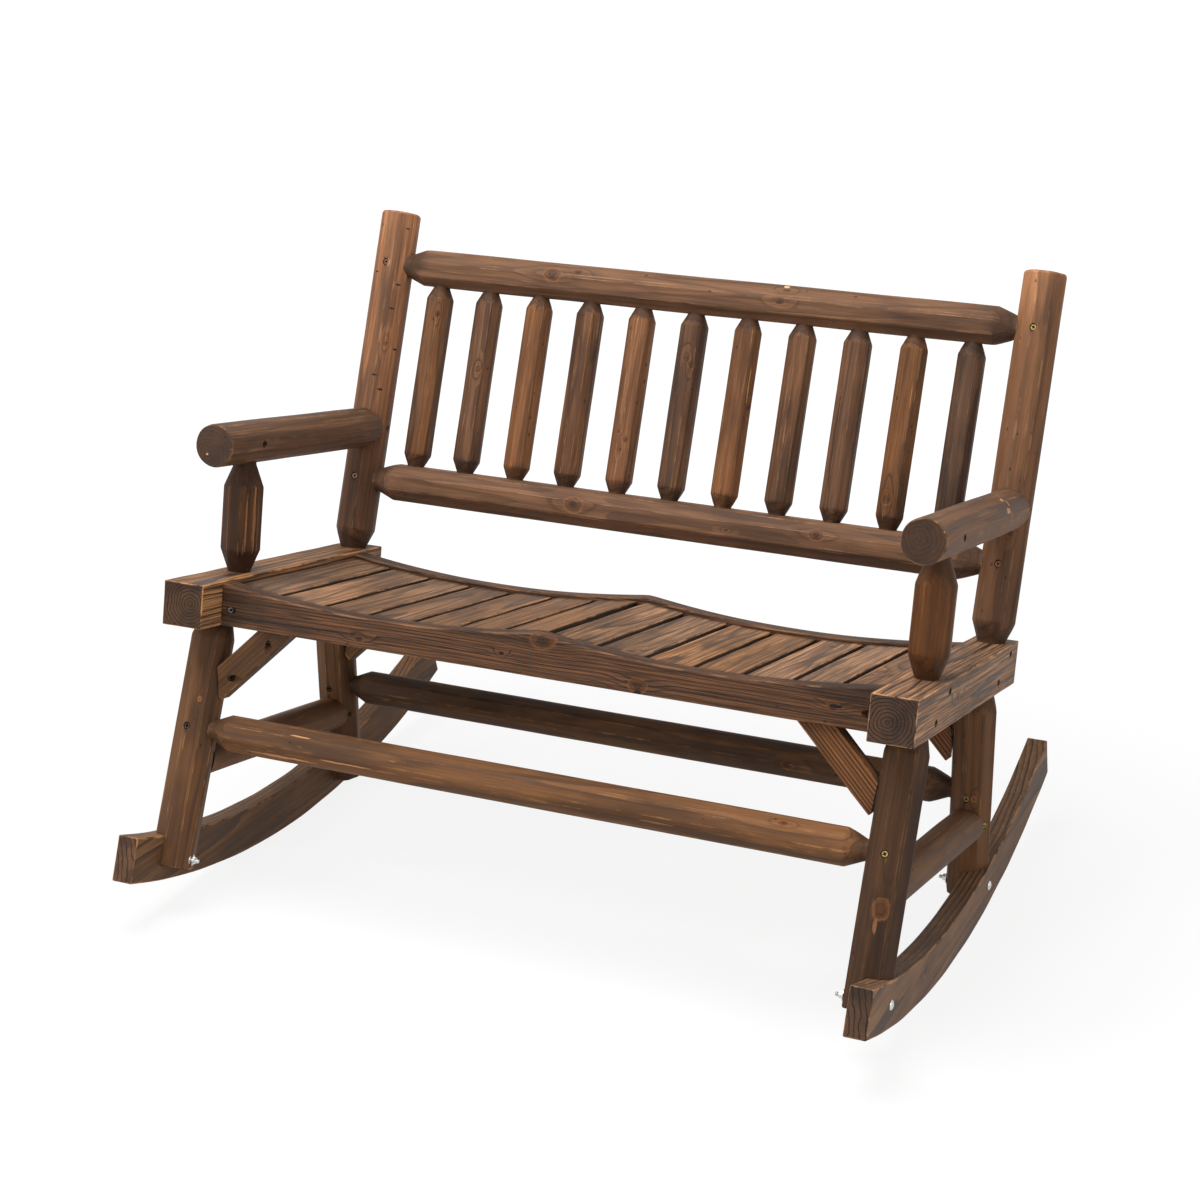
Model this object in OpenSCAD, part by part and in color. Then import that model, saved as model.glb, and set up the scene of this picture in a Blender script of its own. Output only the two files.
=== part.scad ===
// Two-seat rocking bench of peeled logs and sawn timber.
// Everything is laid out in the seat frame: X across the bench, Y from the front
// ends of the seat beams to the back, Z up from the flat tops of those beams.
// The last transform stands the bench on the floor on its rockers.

/* [Stance] */
// Width over the outer faces of the two seat beams
bench_width = 1118; // [1050:1:1300]
// Backward tilt of the seat when the bench stands at rest, in degrees
rest_tilt = 9.9; // [8:0.1:12]

/* [Seat frame] */
// Width and height of the square seat beams
beam_size = 64; // [58:1:72]
// Length of the seat beams
beam_length = 548; // [535:1:620]
// Easing of the long edges of sawn timber
edge_ease = 1.5; // [0.5:0.1:3]
// Distance from the front ends of the beams to the front apron
apron_setback = 54; // [44:1:64]
// Distance over the outer faces of the front and rear aprons
apron_spread = 432; // [415:1:445]
// Thickness of the aprons
apron_thick = 32; // [25:1:38]
// Drop from the tops of the beams to the highest edge of the aprons
apron_drop = 3; // [1:0.5:8]
// Depth of the two hollows in the top edge of each apron
scoop_depth = 17.3; // [10:0.1:22]
// Width of the flat left between and beside the hollows
scoop_land = 8; // [4:1:20]

/* [Seat slats] */
// Number of slats, half of them in each hollow
slat_count = 14; // [10:2:14]
// Gap between two slats side by side
slat_gap = 10.3; // [8:0.1:14]
// Thickness of a slat
slat_thick = 20; // [14:1:22]
// Drop from the top edge of the aprons to the slats
slat_drop = 5; // [2:0.5:7]
// Gap between the outer slats and the beams
slat_edge_gap = 1; // [0.5:0.1:3]
// Gap between the ends of the slats and the aprons
slat_end_gap = 1; // [0.5:0.1:3]
// Thickness of the two cleats that carry the slats
cleat_thick = 22; // [18:1:30]
// Height of the underside of the cleats above that of the aprons
cleat_rise = 4; // [0:1:5]

/* [Back] */
// Diameter of the back posts
post_diameter = 64; // [58:1:68]
// Length of the back posts along their axes, above the beams
post_length = 542; // [520:1:620]
// Distance from the front ends of the beams to the foot of a back post
post_setback = 507.3; // [500:0.1:512]
// Backward lean of the back from square to the seat, in degrees
back_lean = 9.78; // [5:0.01:14]
// Length of the pencil taper at the foot of a back post
post_taper = 29; // [20:1:40]
// Diameter at the end of that taper
post_foot_diameter = 41; // [38:1:50]
// Diameter of the tenons at the feet of the back posts
post_tenon_diameter = 32; // [26:1:36]
// Drop from the tops of the back posts to the axis of the top rail
top_rail_drop = 83.3; // [62:0.1:110]
// Height of the bottom rail along the back posts
bottom_rail_height = 112.7; // [100:0.1:140]
// Diameter of the two rails
rail_diameter = 61; // [58:1:66]
// Width across the hewn flats of the two rails
rail_flats = 57.5; // [50:0.5:58]
// Length of the taper at the ends of the rails
rail_taper = 30; // [20:1:45]
// Diameter of the tenons of the rails
rail_tenon_diameter = 37; // [30:1:40]
// Number of spindles
spindle_count = 11; // [5:1:11]
// Distance from the axis of a back post to that of the first spindle
spindle_margin = 91; // [80:1:110]
// Diameter of a spindle
spindle_diameter = 44; // [42:1:48]
// Width across the hewn flats of a spindle
spindle_flats = 41.5; // [36:0.5:42]
// Length of the taper at the ends of a spindle
spindle_taper = 19; // [12:1:30]
// Diameter of the tenons of a spindle
spindle_tenon_diameter = 26; // [20:1:28]
// Length of the tenons of a spindle
spindle_tenon_length = 22; // [15:1:28]

/* [Arms] */
// Diameter of the arms
arm_diameter = 64; // [56:1:68]
// Height of the axes of the arms above the beams
arm_height = 193; // [180:1:210]
// Distance from the front ends of the beams to those of the arms
arm_setback = 62; // [40:1:90]
// Diameter of the tenons of the arms
arm_tenon_diameter = 32; // [26:1:38]
// Diameter of the posts under the arms
arm_post_diameter = 59; // [57:1:64]
// Width across the hewn flats of the posts under the arms
arm_post_flats = 56.5; // [47:0.5:57]
// Distance from the front ends of the beams to the axes of these posts
arm_post_setback = 152.5; // [148:0.5:170]
// Length of the tapers at both ends of these posts
arm_post_taper = 34; // [24:1:44]
// Diameter of the tenons of these posts
arm_post_tenon_diameter = 33; // [28:1:36]
// Easing of the sawn ends of the arms and the back posts
end_ease = 2; // [0.5:0.5:5]

/* [Legs] */
// Diameter of the legs
leg_diameter = 64; // [58:1:68]
// Splay of the legs from square to the seat, in degrees
leg_splay = 13.5; // [10:0.1:15]
// Distance from the front ends of the beams to the tops of the front legs
front_leg_setback = 97; // [92:0.5:100]
// Distance from the front ends of the beams to the tops of the rear legs
rear_leg_setback = 450; // [447:0.5:455]
// Length of the pencil taper at the top of a leg
leg_taper = 28; // [18:1:40]
// Diameter at the end of that taper
leg_top_diameter = 48; // [42:1:56]
// Diameter of the tenons of the legs
leg_tenon_diameter = 32; // [26:1:36]
// Width of the knee braces
brace_width = 40; // [30:1:50]
// Thickness of the knee braces
brace_thick = 25; // [18:1:32]
// Distance along an apron from a beam to the far edge of a brace
brace_reach = 115; // [95:1:140]

/* [Stretchers] */
// Diameter of the stretchers
stretcher_diameter = 54; // [46:1:58]
// Length of the tapers of the front and rear stretchers
stretcher_taper = 27; // [18:1:40]
// Diameter of the tenons of the stretchers
stretcher_tenon_diameter = 30; // [24:1:34]
// Drop from the tops of the beams to the front and rear stretchers
cross_stretcher_drop = 221; // [205:1:235]
// Drop from the tops of the beams to the side stretchers
low_stretcher_drop = 270; // [262:1:290]

/* [Rockers] */
// Radius of the underside of the rockers
rocker_radius = 1400; // [1200:1:1700]
// Depth of the rockers from the upper to the lower edge
rocker_depth = 66.5; // [56:0.5:80]
// Thickness of the rockers
rocker_thick = 32; // [26:1:38]
// Angle that each rocker spans, in degrees
rocker_sweep = 40.6; // [39:0.1:44]
// Distance from the front ends of the beams to the centre of the rocker arc
rocker_centre_setback = 160; // [140:1:180]
// Drop from the tops of the beams to the rocker arc, square to the seat
rocker_drop = 448.5; // [430:0.5:480]
// Distance by which the rockers stand out past the legs
rocker_proud = 2.4; // [0:0.1:8]
// Height of the ends of the legs above the underside of the rockers
leg_end_rise = 19; // [12:1:26]

/* [Fasteners] */
// Radial play of a tenon in its mortise and of a fastener in its hole
fit = 0.1; // [0.05:0.01:0.2]
// Wood that a mortise leaves on the far side
mortise_wall = 18; // [14:1:24]
// Diameter of the wood screws
screw_diameter = 5; // [3:0.5:6]
// Diameter of the heads of the wood screws
screw_head_diameter = 9; // [7:0.5:10]
// Height of the heads of the wood screws
screw_head_height = 3; // [2:0.5:4]
// Diameter of the counterbores for the wood screws
counterbore_diameter = 11; // [10.5:0.1:13]
// Depth of the counterbores for the wood screws
counterbore_depth = 6; // [4:0.5:8]
// Length of the screws that pin the tenons
pin_screw_length = 40; // [30:1:44]
// Length of the slanted screws through the ends of the aprons
toe_screw_length = 34; // [28:1:36]
// Length of the slanted screws through the knee braces
brace_screw_length = 32; // [28:1:34]
// Length of the screws through the cleats into the aprons
cleat_screw_length = 36; // [26:1:40]
// Length of the screws through the cleats into the slats
slat_screw_length = 20; // [16:1:22]
// Thickness of cleat that a slat screw clamps
slat_screw_grip = 9; // [6:0.5:10]
// Diameter of the rocker bolts
bolt_diameter = 6; // [5:0.5:8]
// Diameter of the round heads of the rocker bolts
bolt_head_diameter = 14; // [11:0.5:18]
// Height of the round heads of the rocker bolts
bolt_head_height = 3; // [2:0.1:4]
// Length of bolt that stands out of a nut
bolt_stickout = 6; // [2:0.5:10]
// Diameter of the washers under the nuts
washer_diameter = 17; // [14:0.5:22]
// Thickness of the washers under the nuts
washer_thick = 1.5; // [1:0.1:2.5]
// Width of the nuts across their flats
nut_flats = 10; // [9:0.5:13]
// Height of the nuts
nut_height = 5; // [4:0.5:7]
// Depth of the flat seats for the washers, cut into the round of the legs
spotface_depth = 2.5; // [2:0.1:5]

/* [Hidden] */
$fn = 96;
arc_steps = 1440;
overrun = 5;
wood_light = "#8a5b3a";
wood_mid = "#6f462c";
wood_dark = "#5a3824";
zinc = "#c4c2b8";

// Lines that the timbers share
inner_span = bench_width - 2 * beam_size;
side_x = (bench_width - beam_size) / 2;
slat_length = apron_spread - 2 * apron_thick - 2 * slat_end_gap;
slat_pitch = (inner_span - 2 * slat_edge_gap + slat_gap) / slat_count;
slat_width = slat_pitch - slat_gap;
beam_tenon_length = beam_size - mortise_wall;

// Hollows of the aprons, and the arcs of slats and cleats inside them
scoop_x = inner_span / 4;
scoop_half = (inner_span / 2 - scoop_land) / 2;
scoop_radius = (pow(scoop_half, 2) + pow(scoop_depth, 2)) / (2 * scoop_depth);
scoop_z = scoop_radius - scoop_depth - apron_drop;
slat_under_radius = scoop_radius + slat_drop + slat_thick;
cleat_radius = sqrt(pow(slat_under_radius, 2) + pow(slat_width / 2 - edge_ease, 2)) + fit;
cleat_top = scoop_z - sqrt(pow(cleat_radius, 2) - pow(scoop_half, 2));
cleat_bottom = cleat_rise - beam_size;

// Back, arms and their joints
top_rail_height = post_length - top_rail_drop;
rail_span = 2 * side_x - post_diameter;
rail_tenon_length = post_diameter - mortise_wall;
spindle_pitch = 2 * (side_x - spindle_margin) / (spindle_count - 1);
spindle_span = top_rail_height - bottom_rail_height - rail_flats;
spindle_middle = (top_rail_height + bottom_rail_height) / 2;
arm_end_y = post_y(arm_height) - arm_diameter / 2 * tan(back_lean);
arm_tenon_end = post_y(arm_height) + post_diameter / 2 - mortise_wall;
arm_post_span = arm_height - arm_diameter / 2;
arm_post_tenon_length = min(beam_size, arm_diameter) - mortise_wall;

// Stretchers, rocker arc, and the half lap where a leg meets its rocker
cross_span = 2 * side_x - leg_diameter;
stretcher_tenon_length = leg_diameter - mortise_wall;
arc_height = rocker_radius - rocker_drop;
rocker_top_radius = rocker_radius - rocker_depth;
bolt_radius = rocker_radius - rocker_depth / 2;
lap_x = side_x + leg_diameter / 2 + rocker_proud - rocker_thick;
rocker_outer_x = lap_x + rocker_thick;
spotface_x = side_x - leg_diameter / 2 + spotface_depth;

// Places of the screws on the pieces that carry them
beam_pin_drop = 14;
beam_pin_rise = 17;
arm_post_pin_offset = 8.5;
low_pin_angle = 65;
low_pin_rise = 8;
toe_screw_inset = 17;
toe_screw_drop = 40;
toe_screw_angle = 45;
brace_screw_setback = 45;
brace_screw_inset = 9;
brace_screw_angle = 25;
cleat_screw_steps = [2, 5];

// Where the middle of the rocker arc comes to rest on the floor
rest_y = -rocker_centre_setback * cos(rest_tilt) - arc_height * sin(rest_tilt);
rest_z = rocker_radius + rocker_centre_setback * sin(rest_tilt) - arc_height * cos(rest_tilt);

function two_digits(i) = i < 10 ? str("0", i) : str(i);
function slat_name(i) = str("seat_slat_", two_digits(i));
function spindle_name(i) = str("spindle_", two_digits(i));

// Distance from the front ends of the beams to a back post's axis, at a height
function post_y(z) = post_setback + z * tan(back_lean);

// The same for a leg's axis, where end is 1 at the front and -1 at the rear
function leg_top_y(end) = end > 0 ? front_leg_setback : rear_leg_setback;
function leg_y(end, z) = leg_top_y(end) + end * (z + beam_size) * tan(leg_splay);

// Outer and inner faces of the front apron, or of the rear one
function apron_face_y(end) = end > 0 ? apron_setback : apron_setback + apron_spread;
function apron_back_y(end) = apron_face_y(end) + end * apron_thick;

// Length along a leg from its beam down to a circle about the centre of the rocker arc
function leg_reach(end, radius) =
    let (across = leg_top_y(end) - rocker_centre_setback)
    let (down = arc_height + beam_size)
    let (along = down * cos(leg_splay) - end * across * sin(leg_splay))
    sqrt(pow(along, 2) + pow(radius, 2) - pow(across, 2) - pow(down, 2)) - along;

// Stands the finished bench on the floor
module at_rest() {
    translate([0, rest_y, rest_z])
        rotate([-rest_tilt, 0, 0])
            children();
}

// Draws a right-hand form, mirrored to the left where side is -1
module sided(side) {
    if (side > 0) {
        children();
    } else {
        mirror([1, 0, 0])
            children();
    }
}

// Frame of the leaning back, with Z along the axes of the posts
module in_back() {
    translate([0, post_setback, 0])
        rotate([-back_lean, 0, 0])
            children();
}

// Frame of a right-hand leg, with Z up its axis from the underside of the beam
module on_leg(end) {
    translate([side_x, leg_top_y(end), -beam_size])
        rotate([-end * leg_splay, 0, 0])
            children();
}

// Frame of a slat, with its origin midway along the front edge of its underside
module on_slat(i) {
    x = (i - (slat_count + 1) / 2) * slat_pitch;
    centre = sign(x) * scoop_x;
    translate([centre, apron_back_y(1) + slat_end_gap, scoop_z])
        rotate([0, -asin((x - centre) / slat_under_radius), 0])
            translate([0, 0, -slat_under_radius])
                children();
}

// Frame of a rocker bolt, with its axis along X from the middle of the bench
module on_bolt(end) {
    translate([-side_x, 0, 0])
        on_leg(end)
            translate([0, 0, -leg_reach(end, bolt_radius)])
                along_x()
                    children();
}

// Lays what is drawn about Z along X
module along_x() {
    rotate([0, 90, 0])
        children();
}

// Lays what is drawn about Z along Y
module along_y() {
    rotate([-90, 0, 0])
        children();
}

// Peeled pole about Z, tapered like a pencil at both ends to its round tenons
module pole(diameter, tenon_diameter, taper, span, tenon_length) {
    half = span / 2;
    tip = half + tenon_length;
    rotate_extrude()
        polygon([
            [0, -tip],
            [tenon_diameter / 2, -tip],
            [tenon_diameter / 2, -half],
            [diameter / 2, taper - half],
            [diameter / 2, half - taper],
            [tenon_diameter / 2, half],
            [tenon_diameter / 2, tip],
            [0, tip]
        ]);
}

// Cuts eight long flats on a pole about Z
module hewn(flats, length) {
    sides = 8;
    intersection() {
        children();
        rotate([0, 0, 180 / sides])
            cylinder(d = flats / cos(180 / sides), h = length, center = true, $fn = sides);
    }
}

// Pencil taper that narrows up to zero height and runs on at the same slope by a rise
module pencil(diameter, tip_diameter, taper, rise) {
    slope = (diameter - tip_diameter) / taper;
    translate([0, 0, -taper])
        cylinder(d1 = diameter, d2 = tip_diameter - slope * rise, h = taper + rise);
}

// Round mortise that goes up from zero height into the wood
module mortise(diameter, length) {
    translate([0, 0, -overrun])
        cylinder(d = diameter + 2 * fit, h = overrun + length + fit);
}

// Sawn bar along Y with eased long edges and its corner at the origin
module sawn_bar(width, height, length) {
    translate([0, length, 0])
        rotate([90, 0, 0])
            linear_extrude(length)
                polygon([
                    [edge_ease, 0],
                    [width - edge_ease, 0],
                    [width, edge_ease],
                    [width, height - edge_ease],
                    [width - edge_ease, height],
                    [edge_ease, height],
                    [0, height - edge_ease],
                    [0, edge_ease]
                ]);
}

// Sawn rail along X, centred on the bench, from one Y to the next above a height
module cross_bar(near_y, far_y, bottom, height, length) {
    translate([-length / 2, max(near_y, far_y), bottom])
        rotate([0, 0, -90])
            sawn_bar(abs(far_y - near_y), height, length);
}

// The two hollows side by side, as long cylinders along Y
module scoops(radius) {
    for (side = [-1, 1])
        translate([side * scoop_x, 0, scoop_z])
            along_y()
                cylinder(r = radius, h = beam_length, $fn = arc_steps);
}

// Wood screw that points up from the seat of its head, or its stepped hole
module wood_screw(length, depth, hole = false) {
    play = hole ? fit : 0;
    cylinder(d = screw_diameter + 2 * play, h = length + play);
    if (hole) {
        translate([0, 0, -depth - overrun])
            cylinder(d = counterbore_diameter, h = depth + overrun);
    } else {
        translate([0, 0, -screw_head_height])
            cylinder(d1 = screw_head_diameter - screw_head_height, d2 = screw_head_diameter,
                h = screw_head_height);
    }
}

// Screw from the front into a round timber about Z
module front_pin(diameter, hole) {
    translate([0, counterbore_depth - diameter / 2, 0])
        along_y()
            wood_screw(pin_screw_length, counterbore_depth, hole);
}

// Screws through the back posts into the tenons of the rails
module rail_pins(hole = false) {
    for (side = [-1, 1], height = [bottom_rail_height, top_rail_height])
        in_back()
            translate([side * side_x, 0, height])
                front_pin(post_diameter, hole);
}

// Screws from the right into the tenons at the two joints of each arm
module arm_pins(hole = false) {
    for (side = [-1, 1]) {
        translate([side * side_x, post_y(arm_height), arm_height])
            rotate([0, 0, 90])
                front_pin(post_diameter, hole);
        translate([side * side_x, arm_post_setback, arm_height])
            rotate([0, 0, 90])
                front_pin(arm_diameter, hole);
    }
}

// Screws through the outer faces of the beams into the tenons of posts and legs
module beam_pins(hole = false) {
    low = beam_pin_rise - beam_size;
    places = [
        [arm_post_setback + arm_post_pin_offset, -beam_pin_drop],
        [post_y(-beam_pin_drop), -beam_pin_drop],
        [leg_y(1, low), low],
        [leg_y(-1, low), low]
    ];
    for (side = [-1, 1], place = places)
        sided(side)
            translate([bench_width / 2 - counterbore_depth, place[0], place[1]])
                rotate([0, -90, 0])
                    wood_screw(pin_screw_length, counterbore_depth, hole);
}

// Screws through the legs into the tenons of all four stretchers
module leg_pins(hole = false) {
    low_pin_z = low_pin_rise - low_stretcher_drop;
    for (side = [-1, 1], end = [-1, 1]) {
        translate([side * side_x, leg_y(end, -cross_stretcher_drop), -cross_stretcher_drop])
            rotate([-end * leg_splay, 0, 0])
                front_pin(leg_diameter, hole);
        translate([side * side_x, leg_y(end, low_pin_z), low_pin_z])
            rotate([-end * leg_splay, 0, end > 0 ? 180 - low_pin_angle : low_pin_angle])
                front_pin(leg_diameter, hole);
    }
}

// Slanted screws through the ends of the aprons into the beams
module toe_screws(hole = false) {
    seat = counterbore_depth;
    for (side = [-1, 1], end = [-1, 1])
        sided(side)
            translate([inner_span / 2 - toe_screw_inset, apron_face_y(end), -toe_screw_drop])
                rotate([0, 90, end * toe_screw_angle])
                    translate([0, 0, seat])
                        wood_screw(toe_screw_length, 2 * seat, hole);
}

// Slanted screws through the knee braces, up into an apron and out into a leg
module knee_screws(hole = false) {
    seat = 2 * counterbore_depth;
    near = inner_span / 2 - brace_reach;
    inset = brace_screw_inset * sin(45);
    first = brace_screw_setback * cos(45);
    last = side_x - leg_diameter / 2 - near - first;
    for (side = [-1, 1], end = [-1, 1]) {
        face_y = apron_back_y(end) - end * brace_thick;
        sided(side) {
            translate([near + first + inset, face_y, inset - first - beam_size])
                rotate([-end * brace_screw_angle, 0, 0])
                    translate([0, 0, seat])
                        wood_screw(brace_screw_length, 2 * seat, hole);
            translate([near + last + inset, face_y, inset - last - beam_size])
                rotate([0, 90, end * brace_screw_angle])
                    translate([0, 0, seat])
                        wood_screw(brace_screw_length, 2 * seat, hole);
        }
    }
}

// Screws up through the cleats into the slats, and across them into the aprons
module cleat_screws(hole = false) {
    front = cleat_thick / 2 - slat_end_gap;
    for (i = [1 : slat_count], y = [front, slat_length - front])
        on_slat(i)
            translate([0, y, -slat_screw_grip])
                wood_screw(slat_screw_length, beam_size, hole);
    low = (cleat_bottom + scoop_z - cleat_radius) / 2;
    for (side = [-1, 1], end = [-1, 1], step = cleat_screw_steps)
        translate([side * step * slat_pitch, apron_back_y(end) + end * cleat_thick, low])
            rotate([end * 90, 0, 0])
                translate([0, 0, counterbore_depth])
                    wood_screw(cleat_screw_length, counterbore_depth, hole);
}

// Holes for the four rocker bolts, with a flat seat for each washer
module bolt_holes() {
    seat = washer_diameter + 2 * overrun;
    for (side = [-1, 1], end = [-1, 1])
        sided(side)
            on_bolt(end) {
                cylinder(d = bolt_diameter + 2 * fit, h = rocker_outer_x + overrun);
                translate([0, 0, spotface_x - seat])
                    cylinder(d = washer_diameter + 2 * washer_thick, h = seat);
            }
}

// Square timber at each end of the seat that carries its posts and legs
module seat_beam(side) {
    color(wood_mid)
        at_rest()
            difference() {
                sided(side)
                    difference() {
                        translate([inner_span / 2, 0, -beam_size])
                            sawn_bar(beam_size, beam_size, beam_length);
                        translate([side_x, arm_post_setback, 0])
                            rotate([180, 0, 0])
                                mortise(arm_post_tenon_diameter, arm_post_tenon_length);
                        in_back()
                            translate([side_x, 0, 0])
                                rotate([180, 0, 0])
                                    mortise(post_tenon_diameter, beam_tenon_length);
                        for (end = [-1, 1])
                            on_leg(end)
                                mortise(leg_tenon_diameter, beam_tenon_length);
                    }
                beam_pins(hole = true);
                toe_screws(hole = true);
            }
}

// Board between the beams, its top edge hollowed for two sitters
module apron(end) {
    color(wood_light)
        at_rest()
            difference() {
                cross_bar(apron_face_y(end), apron_back_y(end), -beam_size,
                    beam_size - apron_drop, inner_span);
                scoops(scoop_radius);
                toe_screws(hole = true);
                knee_screws(hole = true);
                cleat_screws(hole = true);
            }
}

// Batten inside an apron, hollowed to the undersides of the slats
module cleat(end) {
    color(wood_dark)
        at_rest()
            difference() {
                cross_bar(apron_back_y(end), apron_back_y(end) + end * cleat_thick, cleat_bottom,
                    cleat_top - cleat_bottom, inner_span - 2 * slat_edge_gap);
                scoops(cleat_radius);
                cleat_screws(hole = true);
            }
}

// One board of the seat, laid square to the hollow under it
module seat_slat(i) {
    color(i % 2 == 0 ? wood_mid : wood_light)
        at_rest()
            difference() {
                on_slat(i)
                    translate([-slat_width / 2, 0, 0])
                        sawn_bar(slat_width, slat_thick, slat_length);
                cleat_screws(hole = true);
            }
}

// Leaning post of the back, its pencil foot scribed to the top of the beam
module back_post(side) {
    color(wood_mid)
        at_rest()
            difference() {
                sided(side)
                    back_post_blank();
                sided(side)
                    back_post_mortises();
                rail_pins(hole = true);
                arm_pins(hole = true);
                beam_pins(hole = true);
            }
}

module back_post_blank() {
    foot_rise = post_foot_diameter * tan(back_lean);
    difference() {
        in_back()
            translate([side_x, 0, 0]) {
                rotate([180, 0, 0])
                    pencil(post_diameter, post_foot_diameter, post_taper, foot_rise);
                translate([0, 0, post_taper])
                    cylinder(d = post_diameter, h = post_length - post_taper - end_ease);
                translate([0, 0, post_length - end_ease])
                    cylinder(d1 = post_diameter, d2 = post_diameter - 2 * end_ease, h = end_ease);
            }
        translate([side_x - post_diameter, post_setback - post_diameter, -beam_size])
            cube([2 * post_diameter, 2 * post_diameter, beam_size]);
    }
    in_back()
        translate([side_x, 0, -beam_tenon_length])
            cylinder(d = post_tenon_diameter, h = beam_tenon_length + post_taper);
}

module back_post_mortises() {
    for (height = [bottom_rail_height, top_rail_height])
        in_back()
            translate([rail_span / 2, 0, height])
                along_x()
                    mortise(rail_tenon_diameter, rail_tenon_length);
    translate([side_x, arm_end_y - post_diameter, arm_height])
        along_y()
            cylinder(d = arm_tenon_diameter + 2 * fit, h = arm_tenon_end - arm_end_y + post_diameter + fit);
}

// Hewn rail of the back between the two posts
module rail(height) {
    length = rail_span + 2 * rail_tenon_length;
    color(wood_light)
        at_rest()
            difference() {
                in_back()
                    translate([0, 0, height])
                        along_x()
                            hewn(rail_flats, length)
                                pole(rail_diameter, rail_tenon_diameter, rail_taper, rail_span,
                                    rail_tenon_length);
                rail_pins(hole = true);
                spindle_mortises(height);
            }
}

// Row of mortises in the side of a rail that faces the other rail
module spindle_mortises(height) {
    up = sign(spindle_middle - height);
    for (i = [1 : spindle_count])
        in_back()
            translate([spindle_x(i), 0, height + up * rail_flats / 2])
                rotate([up > 0 ? 180 : 0, 0, 0])
                    mortise(spindle_tenon_diameter, spindle_tenon_length);
}

function spindle_x(i) = (i - (spindle_count + 1) / 2) * spindle_pitch;

// One hewn upright of the back
module spindle(i) {
    length = spindle_span + 2 * spindle_tenon_length;
    color(i % 3 == 0 ? wood_dark : wood_light)
        at_rest()
            in_back()
                translate([spindle_x(i), 0, spindle_middle])
                    hewn(spindle_flats, length)
                        pole(spindle_diameter, spindle_tenon_diameter, spindle_taper, spindle_span,
                            spindle_tenon_length);
}

// Level arm, its rear end hollowed round the back post with a tenon inside
module arm(side) {
    color(wood_mid)
        at_rest()
            difference() {
                sided(side)
                    arm_blank();
                arm_pins(hole = true);
            }
}

module arm_blank() {
    length = arm_end_y - arm_setback;
    difference() {
        union() {
            difference() {
                translate([side_x, arm_setback, arm_height])
                    along_y() {
                        cylinder(d1 = arm_diameter - 2 * end_ease, d2 = arm_diameter, h = end_ease);
                        translate([0, 0, end_ease])
                            cylinder(d = arm_diameter, h = length - end_ease);
                    }
                in_back()
                    translate([side_x, 0, 0])
                        cylinder(d = post_diameter + 2 * fit, h = post_length);
            }
            translate([side_x, arm_end_y - post_diameter, arm_height])
                along_y()
                    cylinder(d = arm_tenon_diameter, h = arm_tenon_end - arm_end_y + post_diameter);
        }
        translate([side_x, arm_post_setback, arm_post_span])
            mortise(arm_post_tenon_diameter, arm_post_tenon_length);
    }
}

// Short hewn post between a beam and the arm over it
module arm_post(side) {
    length = arm_post_span + 2 * arm_post_tenon_length;
    color(wood_dark)
        at_rest()
            difference() {
                translate([side * side_x, arm_post_setback, arm_post_span / 2])
                    hewn(arm_post_flats, length)
                        pole(arm_post_diameter, arm_post_tenon_diameter, arm_post_taper,
                            arm_post_span, arm_post_tenon_length);
                arm_pins(hole = true);
                beam_pins(hole = true);
            }
}

// Splayed leg, tenoned into its beam and half lapped over its rocker
module leg(side, end) {
    color(wood_mid)
        at_rest()
            difference() {
                sided(side)
                    leg_blank(end);
                leg_pins(hole = true);
                beam_pins(hole = true);
                knee_screws(hole = true);
                bolt_holes();
            }
}

module leg_blank(end) {
    length = leg_reach(end, rocker_radius - leg_end_rise);
    top_rise = leg_top_diameter * tan(leg_splay);
    difference() {
        on_leg(end) {
            pencil(leg_diameter, leg_top_diameter, leg_taper, top_rise);
            translate([0, 0, -length])
                cylinder(d = leg_diameter, h = length - leg_taper);
        }
        translate([side_x - leg_diameter, leg_top_y(end) - leg_diameter, -beam_size])
            cube([2 * leg_diameter, 2 * leg_diameter, beam_size]);
        leg_lap();
        translate([cross_span / 2, leg_y(end, -cross_stretcher_drop), -cross_stretcher_drop])
            leg_socket_x();
        side_stretcher_socket();
    }
    on_leg(end)
        translate([0, 0, -leg_taper])
            cylinder(d = leg_tenon_diameter, h = leg_taper + beam_tenon_length);
}

// Wood that the half lap takes off the outer side of a leg's foot
module leg_lap() {
    translate([lap_x, rocker_centre_setback, arc_height])
        along_x()
            difference() {
                cylinder(r = rocker_radius + rocker_depth, h = leg_diameter, $fn = arc_steps);
                translate([0, 0, -overrun])
                    cylinder(r = rocker_top_radius - fit, h = leg_diameter + 2 * overrun,
                        $fn = arc_steps);
            }
}

// Mortise in the inner side of a leg for a front or rear stretcher
module leg_socket_x() {
    along_x()
        mortise(stretcher_tenon_diameter, stretcher_tenon_length);
}

// Mortises that face each other in a pair of legs for a side stretcher
module side_stretcher_socket() {
    translate([side_x, side_tenon_y(1) - fit, -low_stretcher_drop])
        along_y()
            cylinder(d = stretcher_tenon_diameter + 2 * fit,
                h = side_tenon_y(-1) - side_tenon_y(1) + 2 * fit);
}

// Y of the end of a side stretcher's tenon inside a leg
function side_tenon_y(end) =
    leg_y(end, -low_stretcher_drop) - end * (leg_diameter / 2 - mortise_wall);

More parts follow.
